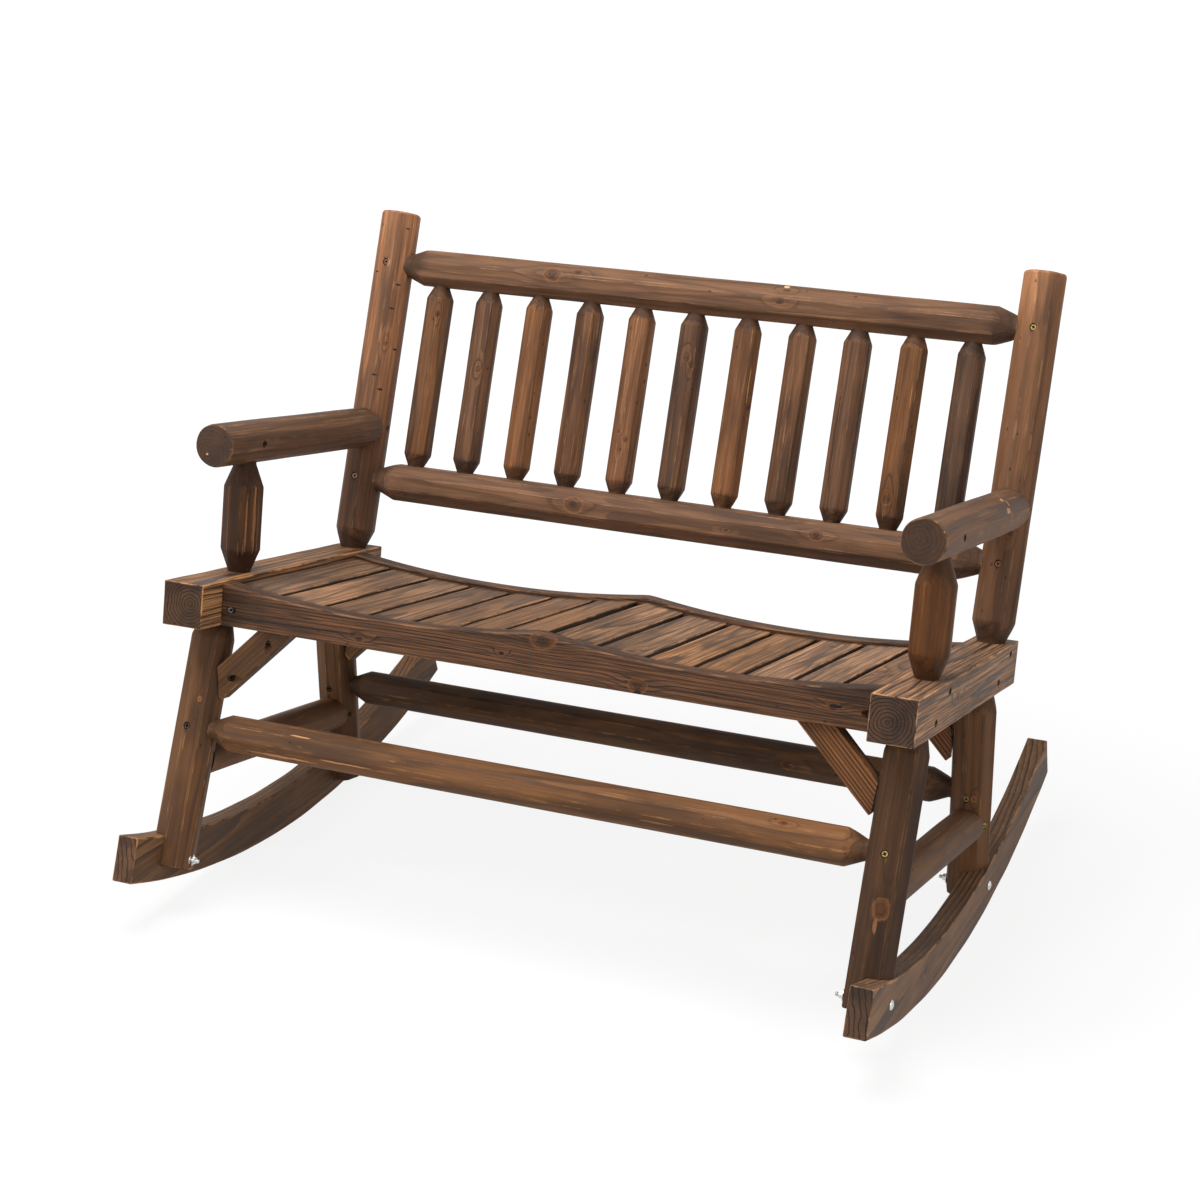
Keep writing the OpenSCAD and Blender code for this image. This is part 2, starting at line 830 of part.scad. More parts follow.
// Board set aslant between an apron and a leg, hollowed round the leg
module knee_brace(side, end) {
    near = inner_span / 2 - brace_reach;
    far = near + brace_width / cos(45);
    face_y = apron_back_y(end) - end * brace_thick;
    color(wood_light)
        at_rest()
            difference() {
                sided(side)
                    difference() {
                        translate([0, max(face_y, apron_back_y(end)), -beam_size])
                            rotate([90, 0, 0])
                                linear_extrude(brace_thick)
                                    polygon([
                                        [near, 0],
                                        [far, 0],
                                        [side_x, far - side_x],
                                        [side_x, near - side_x]
                                    ]);
                        on_leg(end)
                            translate([0, 0, -leg_reach(end, rocker_top_radius)])
                                cylinder(d = leg_diameter + 2 * fit,
                                    h = leg_reach(end, rocker_top_radius));
                    }
                knee_screws(hole = true);
            }
}

// Peeled pole between the two front legs or the two rear legs
module cross_stretcher(end) {
    color(wood_light)
        at_rest()
            difference() {
                translate([0, leg_y(end, -cross_stretcher_drop), -cross_stretcher_drop])
                    along_x()
                        pole(stretcher_diameter, stretcher_tenon_diameter, stretcher_taper,
                            cross_span, stretcher_tenon_length);
                leg_pins(hole = true);
            }
}

// Peeled pole from a front leg to a rear leg, hollowed round both
module side_stretcher(side) {
    front = leg_y(1, -low_stretcher_drop);
    rear = leg_y(-1, -low_stretcher_drop);
    color(wood_mid)
        at_rest()
            difference() {
                sided(side) {
                    difference() {
                        translate([side_x, front, -low_stretcher_drop])
                            along_y()
                                cylinder(d = stretcher_diameter, h = rear - front);
                        for (end = [-1, 1])
                            on_leg(end)
                                translate([0, 0, -leg_reach(end, rocker_radius)])
                                    cylinder(d = leg_diameter + 2 * fit,
                                        h = leg_reach(end, rocker_radius));
                    }
                    translate([side_x, side_tenon_y(1), -low_stretcher_drop])
                        along_y()
                            cylinder(d = stretcher_tenon_diameter,
                                h = side_tenon_y(-1) - side_tenon_y(1));
                }
                leg_pins(hole = true);
            }
}

// Curved runner, bolted against the laps of a front and a rear leg
module rocker(side) {
    color(wood_light)
        at_rest()
            difference() {
                sided(side)
                    translate([lap_x, rocker_centre_setback, arc_height])
                        along_x()
                            rotate([0, 0, rest_tilt - rocker_sweep / 2])
                                rotate_extrude(angle = rocker_sweep, $fn = arc_steps)
                                    translate([rocker_top_radius, 0])
                                        square([rocker_depth, rocker_thick]);
                bolt_holes();
            }
}

// Round-headed bolts through rockers and legs
module rocker_bolts() {
    dome_radius = (pow(bolt_head_diameter / 2, 2) + pow(bolt_head_height, 2)) / (2 * bolt_head_height);
    tip_x = spotface_x - washer_thick - nut_height - bolt_stickout;
    color(zinc)
        at_rest()
            for (side = [-1, 1], end = [-1, 1])
                sided(side)
                    on_bolt(end) {
                        translate([0, 0, tip_x])
                            cylinder(d = bolt_diameter, h = rocker_outer_x - tip_x);
                        translate([0, 0, rocker_outer_x])
                            intersection() {
                                cylinder(d = bolt_head_diameter, h = bolt_head_height);
                                translate([0, 0, bolt_head_height - dome_radius])
                                    sphere(r = dome_radius);
                            }
                    }
}

// Flat washers on the seats cut in the legs
module bolt_washers() {
    color(zinc)
        at_rest()
            for (side = [-1, 1], end = [-1, 1])
                sided(side)
                    on_bolt(end)
                        translate([0, 0, spotface_x - washer_thick])
                            ring(washer_thick)
                                circle(d = washer_diameter);
}

// Hexagon nuts against the washers
module bolt_nuts() {
    sides = 6;
    color(zinc)
        at_rest()
            for (side = [-1, 1], end = [-1, 1])
                sided(side)
                    on_bolt(end)
                        translate([0, 0, spotface_x - washer_thick - nut_height])
                            ring(nut_height)
                                circle(d = nut_flats / cos(180 / sides), $fn = sides);
}

// Flat piece of an outline with a hole for a rocker bolt
module ring(height) {
    linear_extrude(height)
        difference() {
            children();
            circle(d = bolt_diameter + 2 * fit);
        }
}

// Screws that pin the tenons of back, arms, legs and stretchers
module pin_screws() {
    color(zinc)
        at_rest() {
            rail_pins();
            arm_pins();
            beam_pins();
            leg_pins();
        }
}

// Screws that hold the aprons to the beams
module apron_screws() {
    color(zinc)
        at_rest()
            toe_screws();
}

// Screws that hold the knee braces
module brace_screws() {
    color(zinc)
        at_rest()
            knee_screws();
}

// Screws that hold the cleats and the slats
module seat_screws() {
    color(zinc)
        at_rest()
            cleat_screws();
}

seat_beam(-1);  // left_seat_beam
seat_beam(1);  // right_seat_beam
apron(1);  // front_apron
apron(-1);  // rear_apron
cleat(1);  // front_cleat
cleat(-1);  // rear_cleat
for (i = [1 : slat_count])
    seat_slat(i);
back_post(-1);  // left_back_post
back_post(1);  // right_back_post
rail(top_rail_height);  // top_rail
rail(bottom_rail_height);  // bottom_rail
for (i = [1 : spindle_count])
    spindle(i);
arm(-1);  // left_arm
arm(1);  // right_arm
arm_post(-1);  // left_arm_post
arm_post(1);  // right_arm_post
leg(-1, 1);  // front_left_leg
leg(1, 1);  // front_right_leg
leg(-1, -1);  // rear_left_leg
leg(1, -1);  // rear_right_leg
knee_brace(-1, 1);  // front_left_brace
knee_brace(1, 1);  // front_right_brace
knee_brace(-1, -1);  // rear_left_brace
knee_brace(1, -1);  // rear_right_brace
cross_stretcher(1);  // front_stretcher
cross_stretcher(-1);  // rear_stretcher
side_stretcher(-1);  // left_stretcher
side_stretcher(1);  // right_stretcher
rocker(-1);  // left_rocker
rocker(1);  // right_rocker
rocker_bolts();
bolt_washers();
bolt_nuts();
pin_screws();
apron_screws();
brace_screws();
seat_screws();
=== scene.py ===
"""Rocking bench of peeled, scorched fir logs and sawn timber, dressed over its CAD frame."""

import math

import bmesh
import bpy
import numpy as np
from mathutils import Matrix, Vector
from mathutils.kdtree import KDTree


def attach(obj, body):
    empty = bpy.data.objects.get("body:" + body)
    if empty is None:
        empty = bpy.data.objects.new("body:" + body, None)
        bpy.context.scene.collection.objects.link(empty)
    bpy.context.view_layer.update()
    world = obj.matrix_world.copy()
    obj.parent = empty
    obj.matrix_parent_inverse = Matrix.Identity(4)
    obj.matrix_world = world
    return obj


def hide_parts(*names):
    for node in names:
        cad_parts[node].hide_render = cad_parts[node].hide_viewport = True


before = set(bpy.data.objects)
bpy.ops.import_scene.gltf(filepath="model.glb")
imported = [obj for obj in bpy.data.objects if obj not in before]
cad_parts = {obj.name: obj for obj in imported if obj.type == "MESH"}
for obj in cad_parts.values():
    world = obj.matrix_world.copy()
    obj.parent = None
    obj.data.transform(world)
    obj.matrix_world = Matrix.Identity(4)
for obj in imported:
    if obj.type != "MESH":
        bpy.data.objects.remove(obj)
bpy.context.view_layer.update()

# Camera, light and floor
# The bench stands on a white studio sweep. A long lens looks down on it from the right,
# and big soft lamps from above and from the front light it.

CAMERA_PLACE = (1.32515, -3.18546, 1.61558)
CAMERA_AXES = ((0.91941, 0.39301, 0.01509), (-0.13958, 0.29020, 0.94673), (0.36769, -0.87254, 0.32167))
CAMERA_LENS = 74.449
AIR_LIGHT = 0.26
FLOOR_HALF = 40.0
PAPER_GREY = (0.6, 0.6, 0.6, 1.0)
PAPER_ROUGHNESS = 0.95
PAPER_GLOW_SHARE = 0.8
GLOW_NEAR, GLOW_FAR = 0.8, 2.4
GLOW_LEAST, GLOW_MOST = 1.08, 1.25

scene = bpy.context.scene
scene.view_settings.view_transform = "Standard"

camera = bpy.data.objects.new("camera", bpy.data.cameras.new("camera"))
scene.collection.objects.link(camera)
camera.data.sensor_width = 36.0
camera.data.lens = CAMERA_LENS
camera.data.clip_start, camera.data.clip_end = 0.1, 100.0
camera.matrix_world = Matrix.Translation(CAMERA_PLACE) @ Matrix(CAMERA_AXES).transposed().to_4x4()
scene.camera = camera


def soft_lamp(name, place, aim, size, power, tint=(1.0, 1.0, 1.0)):
    lamp = bpy.data.objects.new(name, bpy.data.lights.new(name, "AREA"))
    lamp.data.shape = "DISK"
    lamp.data.size = size
    lamp.data.energy = power
    lamp.data.color = tint
    lamp.location = place
    lamp.rotation_euler = (Vector(aim) - Vector(place)).to_track_quat("-Z", "Y").to_euler()
    scene.collection.objects.link(lamp)


soft_lamp("overhead_lamp", (-0.5, -0.9, 3.4), (0.0, 0.0, 0.4), 2.2, 112.0)
soft_lamp("front_lamp", (-2.6, -3.4, 2.0), (0.0, 0.0, 0.45), 1.8, 62.0, (1.0, 0.985, 0.96))
soft_lamp("side_lamp", (3.4, -1.6, 1.7), (0.0, 0.0, 0.4), 1.6, 40.0, (1.0, 0.99, 0.97))


def feed(tree, socket, value):
    if isinstance(value, bpy.types.NodeSocket):
        tree.links.new(value, socket)
    else:
        socket.default_value = value


def maths(tree, operation, first, second=0.0):
    node = tree.nodes.new("ShaderNodeMath")
    node.operation = operation
    feed(tree, node.inputs[0], first)
    feed(tree, node.inputs[1], second)
    return node.outputs[0]


def vectors(tree, operation, first, second=(0.0, 0.0, 0.0)):
    node = tree.nodes.new("ShaderNodeVectorMath")
    node.operation = operation
    feed(tree, node.inputs[0], first)
    feed(tree, node.inputs[1], second)
    return node.outputs["Value" if operation in ("LENGTH", "DOT_PRODUCT") else "Vector"]


def fade(tree, value, low, high, to_low=0.0, to_high=1.0, kind="SMOOTHSTEP"):
    """A value that goes from one level to another while another value goes from low to high."""
    node = tree.nodes.new("ShaderNodeMapRange")
    node.interpolation_type = kind
    feed(tree, node.inputs["Value"], value)
    feed(tree, node.inputs["From Min"], low)
    feed(tree, node.inputs["From Max"], high)
    feed(tree, node.inputs["To Min"], to_low)
    feed(tree, node.inputs["To Max"], to_high)
    return node.outputs["Result"]


def blank(name):
    """A new material, with its node tree and its Principled BSDF."""
    material = bpy.data.materials.new(name)
    material.use_nodes = True
    return material, material.node_tree, material.node_tree.nodes["Principled BSDF"]


def linked(name, mesh):
    piece = bpy.data.objects.new(name, mesh)
    scene.collection.objects.link(piece)
    return piece


def seen(tree):
    """1 where the camera or a mirror looks, and 0 where light only bounces."""
    path = tree.nodes.new("ShaderNodeLightPath").outputs
    return maths(tree, "MAXIMUM", path["Is Camera Ray"], path["Is Glossy Ray"])


scene.world = bpy.data.worlds.new("studio_air")
scene.world.use_nodes = True
air = scene.world.node_tree
air.nodes["Background"].inputs["Color"].default_value = (1.0, 1.0, 1.0, 1.0)
air_level = fade(air, seen(air), 0.0, 1.0, AIR_LIGHT, 1.0, "LINEAR")
feed(air, air.nodes["Background"].inputs["Strength"], air_level)

floor_mesh = bpy.data.meshes.new("studio_floor")
floor_corners = [(FLOOR_HALF * x, FLOOR_HALF * y, 0.0) for x, y in ((-1, -1), (1, -1), (1, 1), (-1, 1))]
floor_mesh.from_pydata(floor_corners, [], [(0, 1, 2, 3)])
floor_paper, paper, paper_shader = blank("floor_paper")
paper_shader.inputs["Base Color"].default_value = PAPER_GREY
paper_shader.inputs["Roughness"].default_value = PAPER_ROUGHNESS
from_middle = vectors(paper, "LENGTH", paper.nodes.new("ShaderNodeNewGeometry").outputs["Position"])
paper_level = fade(paper, from_middle, GLOW_NEAR, GLOW_FAR, GLOW_LEAST, GLOW_MOST, "LINEAR")
paper_glow = paper.nodes.new("ShaderNodeEmission")
feed(paper, paper_glow.inputs["Strength"], paper_level)
paper_mix = paper.nodes.new("ShaderNodeMixShader")
feed(paper, paper_mix.inputs["Fac"], maths(paper, "MULTIPLY", seen(paper), PAPER_GLOW_SHARE))
feed(paper, paper_mix.inputs[1], paper_shader.outputs["BSDF"])
feed(paper, paper_mix.inputs[2], paper_glow.outputs["Emission"])
feed(paper, paper.nodes["Material Output"].inputs["Surface"], paper_mix.outputs["Shader"])
floor_mesh.materials.append(floor_paper)
linked("studio_floor", floor_mesh)

# Scorched fir
# All the timber is fir, singed with a torch and brushed: dark latewood stands a little
# proud between paler rings, with black flame marks, knots, and edges rubbed back to pale
# wood. The patterns are solid, so that they run round every edge and out at the end grain.


def colour(hexed):
    """A colour written as six hexadecimal digits, in the linear values that shaders use."""
    parts = [int(hexed[i : i + 2], 16) / 255 for i in (0, 2, 4)]
    return [p / 12.92 if p < 0.04045 else ((p + 0.055) / 1.055) ** 2.4 for p in parts] + [1.0]


def speckle(tree, where, stretch, detail, roughness=0.5, whole="Fac"):
    """Noise on a grain vector in metres, stretched to so many cells a metre each way."""
    node = tree.nodes.new("ShaderNodeTexNoise")
    node.inputs["Scale"].default_value = 1.0
    node.inputs["Detail"].default_value = detail
    node.inputs["Roughness"].default_value = roughness
    feed(tree, node.inputs["Vector"], vectors(tree, "MULTIPLY", where, stretch))
    return node.outputs[whole]


def blend(tree, share, first, second, kind="MIX"):
    node = tree.nodes.new("ShaderNodeMix")
    node.data_type = "RGBA"
    node.blend_type = kind
    feed(tree, node.inputs["Factor"], share)
    feed(tree, node.inputs["A"], first)
    feed(tree, node.inputs["B"], second)
    return node.outputs["Result"]


def surface(tree, label, output="Vector"):
    """What the mesh itself carries under this label."""
    node = tree.nodes.new("ShaderNodeAttribute")
    node.attribute_name = label
    return node.outputs[output]


def bumped(tree, shader, height, strength, distance):
    bump = tree.nodes.new("ShaderNodeBump")
    bump.inputs["Strength"].default_value = strength
    bump.inputs["Distance"].default_value = distance
    feed(tree, bump.inputs["Height"], height)
    feed(tree, shader.inputs["Normal"], bump.outputs["Normal"])


def effect(**inputs):
    """Makes a shader node group with these inputs, and the name, of a function that lays out its nodes.

    The function gives the values that the group puts out, each under its own name.
    """

    def built(lay_out):
        tree = bpy.data.node_groups.new(lay_out.__name__, "ShaderNodeTree")
        for label, kind in inputs.items():
            tree.interface.new_socket(label, in_out="INPUT", socket_type="NodeSocket" + kind)
        values = lay_out(tree, tree.nodes.new("NodeGroupInput").outputs)
        for label in values:
            tree.interface.new_socket(label, in_out="OUTPUT", socket_type="NodeSocketFloat")
        result = tree.nodes.new("NodeGroupOutput").inputs
        for label, value in values.items():
            tree.links.new(value, result[label])
        return tree

    return built


def placed(tree, group, **values):
    node = tree.nodes.new("ShaderNodeGroup")
    node.node_tree = group
    for label, value in values.items():
        feed(tree, node.inputs[label], value)
    return node.outputs


@effect(Grain="Vector", Gap="Float", Wander="Float", Push="Float")
def growth_rings(tree, given):
    """Rings round the pith, each a slow rise to dark latewood and a sharp fall."""
    drift = speckle(tree, given["Grain"], (9.0, 9.0, 2.2), 2.0, whole="Color")
    drift = vectors(tree, "MULTIPLY", vectors(tree, "SUBTRACT", drift, (0.5, 0.5, 0.5)), given["Wander"])
    heart = vectors(tree, "MULTIPLY", vectors(tree, "ADD", given["Grain"], drift), (1.0, 1.0, 0.0))
    years = maths(tree, "ADD", vectors(tree, "LENGTH", heart), given["Push"])
    years = maths(tree, "DIVIDE", years, given["Gap"])
    for stretch, reach in (((24.0, 24.0, 1.5), 1.9), ((60.0, 60.0, 3.0), 0.7)):
        uneven = speckle(tree, given["Grain"], stretch, 2.0)
        years = maths(tree, "ADD", years, maths(tree, "MULTIPLY", uneven, reach))
    season = maths(tree, "FRACT", years)
    late = maths(tree, "MULTIPLY", fade(tree, season, 0.64, 0.86), fade(tree, season, 0.94, 1.0, 1.0, 0.0))
    each_year = tree.nodes.new("ShaderNodeTexWhiteNoise")
    each_year.noise_dimensions = "1D"
    tree.links.new(maths(tree, "FLOOR", years), each_year.inputs["W"])
    return {"Latewood": late, "Ring": each_year.outputs["Value"], "Season": season}


@effect(Grain="Vector")
def wood_fibres(tree, given):
    """Fibres, streaks, bands and clouds along the grain, and thin dark lines."""
    grain = given["Grain"]
    values = {
        "Fine": speckle(tree, grain, (620.0, 620.0, 20.0), 3.0, 0.65),
        "Streak": speckle(tree, grain, (150.0, 150.0, 1.9), 3.0, 0.6),
        "Band": speckle(tree, grain, (44.0, 44.0, 1.6), 3.0, 0.6),
        "Cloud": speckle(tree, grain, (16.0, 16.0, 4.2), 3.0, 0.6),
    }
    lines = []
    for stretch, width in (((120.0, 120.0, 1.5), 0.045), ((300.0, 300.0, 2.6), 0.055)):
        hair = maths(tree, "SUBTRACT", speckle(tree, grain, stretch, 2.0, 0.6), 0.5)
        lines.append(fade(tree, maths(tree, "ABSOLUTE", hair), 0.0, width, 1.0, 0.0))
    return {**values, "Line": maths(tree, "MAXIMUM", *lines)}


@effect(Grain="Vector", Amount="Float")
def scorch_marks(tree, given):
    """Black licks of the flame."""
    flame = speckle(tree, given["Grain"], (30.0, 30.0, 7.0), 4.0, 0.62)
    edge = maths(tree, "SUBTRACT", 0.82, maths(tree, "MULTIPLY", given["Amount"], 0.4))
    return {"Mask": fade(tree, flame, edge, maths(tree, "ADD", edge, 0.22))}


@effect(Offset="Vector", Grain="Vector")
def knot_eye(tree, given):
    """A knot of radius 1 at no offset: core, dark rim, pale halo, and its push on the rings around it."""
    ragged = maths(tree, "SUBTRACT", speckle(tree, given["Grain"], (160.0, 160.0, 90.0), 2.0), 0.5)
    away = vectors(tree, "LENGTH", vectors(tree, "MULTIPLY", given["Offset"], (1.0, 1.0, 0.75)))
    away = maths(tree, "ADD", away, maths(tree, "MULTIPLY", ragged, 0.8))
    circles = maths(tree, "MULTIPLY", maths(tree, "SINE", maths(tree, "MULTIPLY", away, 17.0)), 0.25)
    inside = fade(tree, away, 0.3, 0.95, 1.0, 0.0)
    rim = maths(tree, "ABSOLUTE", maths(tree, "SUBTRACT", away, 1.0))
    outside = fade(tree, away, 1.15, 1.6, 1.0, 0.0)
    far = vectors(tree, "LENGTH", vectors(tree, "MULTIPLY", given["Offset"], (0.45, 0.45, 0.16)))
    return {
        "Core": maths(tree, "MULTIPLY", inside, maths(tree, "ADD", circles, 0.75)),
        "Rim": fade(tree, rim, 0.0, 0.32, 1.0, 0.0),
        "Halo": maths(tree, "MULTIPLY", fade(tree, away, 0.7, 0.95), outside),
        "Push": fade(tree, far, 0.0, 1.3, 0.008, 0.0),
    }


@effect(Offset="Vector", Grain="Vector")
def scar(tree, given):
    """A frayed mark of radius 1 at no offset."""
    frayed = maths(tree, "SUBTRACT", speckle(tree, given["Grain"], (300.0, 300.0, 40.0), 3.0, 0.65), 0.5)
    away = maths(tree, "ADD", vectors(tree, "LENGTH", given["Offset"]), maths(tree, "MULTIPLY", frayed, 1.5))
    return {"Mask": fade(tree, away, 0.75, 1.05, 1.0, 0.0)}


@effect(Grain="Vector", Share="Float")
def pin_knots(tree, given):
    """Small dark dots in a share of the cells of the wood."""
    cells = tree.nodes.new("ShaderNodeTexVoronoi")
    cells.inputs["Scale"].default_value = 1.0
    feed(tree, cells.inputs["Vector"], vectors(tree, "MULTIPLY", given["Grain"], (75.0, 75.0, 42.0)))
    lot = vectors(tree, "DOT_PRODUCT", cells.outputs["Color"], (1.0, 0.0, 0.0))
    dot = fade(tree, cells.outputs["Distance"], 0.06, 0.17, 1.0, 0.0)
    return {"Dot": maths(tree, "MULTIPLY", dot, maths(tree, "LESS_THAN", lot, given["Share"]))}


@effect(Wear="Float", Grain="Vector")
def rubbed_edges(tree, given):
    """Bare wood in patches along worn edges."""
    patchy = fade(tree, speckle(tree, given["Grain"], (45.0, 45.0, 22.0), 3.0, 0.65), 0.36, 0.66)
    return {"Mask": fade(tree, maths(tree, "MULTIPLY", given["Wear"], patchy), 0.05, 0.75)}


@effect(Grain="Vector", Amount="Float")
def torn_grain(tree, given):
    """Short pale splinters, torn out here and there."""
    splinters = fade(tree, speckle(tree, given["Grain"], (110.0, 110.0, 9.0), 4.0, 0.7), 0.66, 0.74)
    torn = fade(tree, speckle(tree, given["Grain"], (9.0, 9.0, 5.0), 1.0), 0.52, 0.66)
    return {"Mask": maths(tree, "MULTIPLY", maths(tree, "MULTIPLY", splinters, torn), given["Amount"])}


RING_END, KNOT_RIM, DOT = colour("0f0906"), colour("21150d"), colour("2a1a12")
BARE_WOOD, SPLINTER = colour("b3825a"), colour("b5855f")


def burnt_fir(
    name, pale, brown, char, gap, wander, rings, scorch, pins=0.1, torn=0.5, rub=0.6, bands=0.45, streaks=0.4,
    ramp=0.25, lines=0.5, fine=1.0, clouds=0.45, end_rings=0.85, halo="8a5630", halo_share=0.5, core="281910",
    scar_colour="c08a55",
):
    """Finish for one kind of timber, from its colours, its ring gap and wander in metres, and shares."""
    material, tree, shader = blank(name)
    pale, brown, char = colour(pale), colour(brown), colour(char)

    def times(first, second):
        return maths(tree, "MULTIPLY", first, second)

    grain = surface(tree, "grain")
    knot = placed(tree, knot_eye, Offset=surface(tree, "knot_at"), Grain=grain)
    ring = placed(tree, growth_rings, Grain=grain, Gap=gap, Wander=wander, Push=knot["Push"])
    fibre = placed(tree, wood_fibres, Grain=grain)
    flame = placed(tree, scorch_marks, Grain=grain, Amount=scorch)["Mask"]
    dots = placed(tree, pin_knots, Grain=grain, Share=pins)["Dot"]
    bare = placed(tree, rubbed_edges, Wear=surface(tree, "wear", "Fac"), Grain=grain)["Mask"]
    splinter = placed(tree, torn_grain, Grain=grain, Amount=torn)["Mask"]
    gash = placed(tree, scar, Offset=surface(tree, "scar_at"), Grain=grain)["Mask"]
    late = times(ring["Latewood"], fade(tree, ring["Ring"], 0.0, 1.0, 0.4 * rings, rings))
    # Ends, and the sides of the slats, darken: part char, and part painted shade where they meet other parts
    # or face into the gaps.
    char_and_shade = maths(tree, "ADD", surface(tree, "char_and_shade", "Fac"), fade(tree, fibre["Band"], 0.3, 0.7, -0.3, 0.3))
    tips = maths(tree, "ADD", fade(tree, char_and_shade, 0.3, 1.0, 0.0, 0.7), fade(tree, char_and_shade, 1.2, 1.5, 0.0, 0.2))

    # Along the grain, the body of the wood is charred layer by layer; the last layer darkens the ends and the
    # slat sides, part char and part painted shade
    strands = fade(tree, fibre["Streak"], 0.38, 0.62, 0.5 - 0.5 * streaks, 0.5 + 0.5 * streaks)
    body = blend(tree, strands, brown, pale)
    for share in (
        times(maths(tree, "POWER", ring["Season"], 1.6), ramp),
        fade(tree, fibre["Cloud"], 0.45, 0.64, 0.0, clouds),
        fade(tree, fibre["Band"], 0.5, 0.66, 0.0, bands),
        times(fibre["Line"], lines),
        late,
        times(flame, 0.75),
        tips,
    ):
        body = blend(tree, share, body, char)

    # Across the end it is darker, and marks, wear and tears lie over both
    cut = blend(tree, fade(tree, fibre["Cloud"], 0.35, 0.65, 0.5, 0.95), brown, char)
    cut = blend(tree, times(ring["Latewood"], end_rings), cut, RING_END)
    body = blend(tree, surface(tree, "end_grain", "Fac"), body, cut)
    for share, tint in (
        (times(knot["Halo"], halo_share), colour(halo)),
        (times(knot["Rim"], 0.55), KNOT_RIM),
        (times(knot["Core"], 0.9), colour(core)),
        (times(dots, 0.8), DOT),
        (times(bare, rub), BARE_WOOD),
        (splinter, SPLINTER),
        (gash, colour(scar_colour)),
    ):
        body = blend(tree, share, body, tint)
    fluff = fade(tree, fibre["Fine"], 0.3, 0.7, 1.0 - 0.4 * fine, 1.0 + 0.34 * fine)
    body = blend(tree, 1.0, body, fluff, "MULTIPLY")
    tuned = tree.nodes.new("ShaderNodeHueSaturation")
    feed(tree, tuned.inputs["Color"], body)
    feed(tree, tuned.inputs["Saturation"], surface(tree, "warmth", "Fac"))
    feed(tree, tuned.inputs["Value"], surface(tree, "tone", "Fac"))
    feed(tree, shader.inputs["Base Color"], tuned.outputs["Color"])

    rough = maths(tree, "ADD", fade(tree, fibre["Fine"], 0.2, 0.8, 0.55, 0.72), times(flame, 0.08))
    feed(tree, shader.inputs["Roughness"], maths(tree, "SUBTRACT", rough, times(late, 0.12)))
    shader.inputs["Specular IOR Level"].default_value = 0.2

    relief = maths(tree, "ADD", times(late, 0.5), times(fibre["Fine"], 0.35 * fine))
    relief = maths(tree, "ADD", relief, times(fibre["Streak"], streaks))
    for hollow, depth in ((fibre["Line"], 0.4 * lines), (dots, 0.6), (knot["Rim"], 0.6)):
        relief = maths(tree, "SUBTRACT", relief, times(hollow, depth))
    bumped(tree, shader, relief, 0.75, 0.001)
    return material


# Seat beams
# Two square beams, sawn through the heart of a small tree, carry the seat, the posts and
# the legs. Their long edges are eased, and the screws in their outer faces sit in deep holes.

SEAT_TILT = math.radians(9.9)
SEAT_PLACE = (0.0, -0.32121, 0.49018)
SEAT = Matrix.Translation(SEAT_PLACE) @ Matrix.Rotation(-SEAT_TILT, 4, "X")

BEAM = 0.064
BEAM_LENGTH = 0.548
SIDE_X = 0.527
HOLE_RADIUS = 0.0055
HOLE_DEPTH = 0.03
HEAD_HEIGHT = 0.003
FAR_OFF = 9.0
SEED_SPREAD = 3.17
# How dark the ends and the slat sides go: part char, and part painted shade at the joints and in the gaps
# between slats.
TIP_CHAR_AND_SHADE, SIDE_SHADE_AND_CHAR = 1.5, 1.9
BENT_LEAST, BENT_MOST = 6.0, 28.0
ACROSS_GRAIN = 0.9
FRESH_CUT = 1e-5
END_WEAR = 0.5
HEAD_SHARE, FOOT_DEPTH = 0.98, 1e-4
EASE_LEAST, EASE_SPREAD = 0.55, 1.1
WARMTH_GAIN = 1.07
WOOD_SHARP = 38.0
CAP_SHARE = 0.95


def stand(origin, along, across=(1, 0, 0)):
    """Matrix that lays a piece with its grain, local Z, along and its local X across, from the seat frame."""
    z = Vector(along).normalized()
    x = Vector(across)
    x = (x - z * x.dot(z)).normalized()
    return SEAT @ Matrix.Translation(origin) @ Matrix((x, z.cross(x), z)).transposed().to_4x4()


def facing(place, way):
    """Matrix that lays a fastener at a place with its local Z along its way."""
    return Matrix.Translation(place) @ way.to_track_quat("Z", "Y").to_matrix().to_4x4()


def ripple(rng, count, rate_a, rate_z):
    """Smooth seeded waviness from 0 to 1 over an angle or a side, and a length in metres."""
    turns = rng.integers(0, rate_a + 1, count)
    waves = rng.uniform(0.15, 1.0, count) * rate_z
    phase_a, phase_z = rng.uniform(0, 6.283, (2, count))

    def height(a, z):
        total = sum(
            np.cos(t * a + pa) * np.cos(w * z + pz) for t, w, pa, pz in zip(turns, waves, phase_a, phase_z)
        )
        return np.clip(0.5 + total / count, 0.0, 1.0)

    return height


def islands(node):
    """Loose solids of a CAD node, each as an array of its corners."""
    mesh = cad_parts[node].data
    corners = np.array([v.co for v in mesh.vertices])
    merged, index = np.unique(np.round(corners, 6), axis=0, return_inverse=True)
    index = index.reshape(-1)
    owner = np.arange(len(merged))

    def root(i):
        while owner[i] != i:
            owner[i] = owner[owner[i]]
            i = owner[i]
        return i

    for edge in mesh.edges:
        a, b = (root(index[v]) for v in edge.vertices)
        owner[a] = b
    roots = np.array([root(i) for i in range(len(merged))])
    return [merged[roots == r] for r in np.unique(roots)]


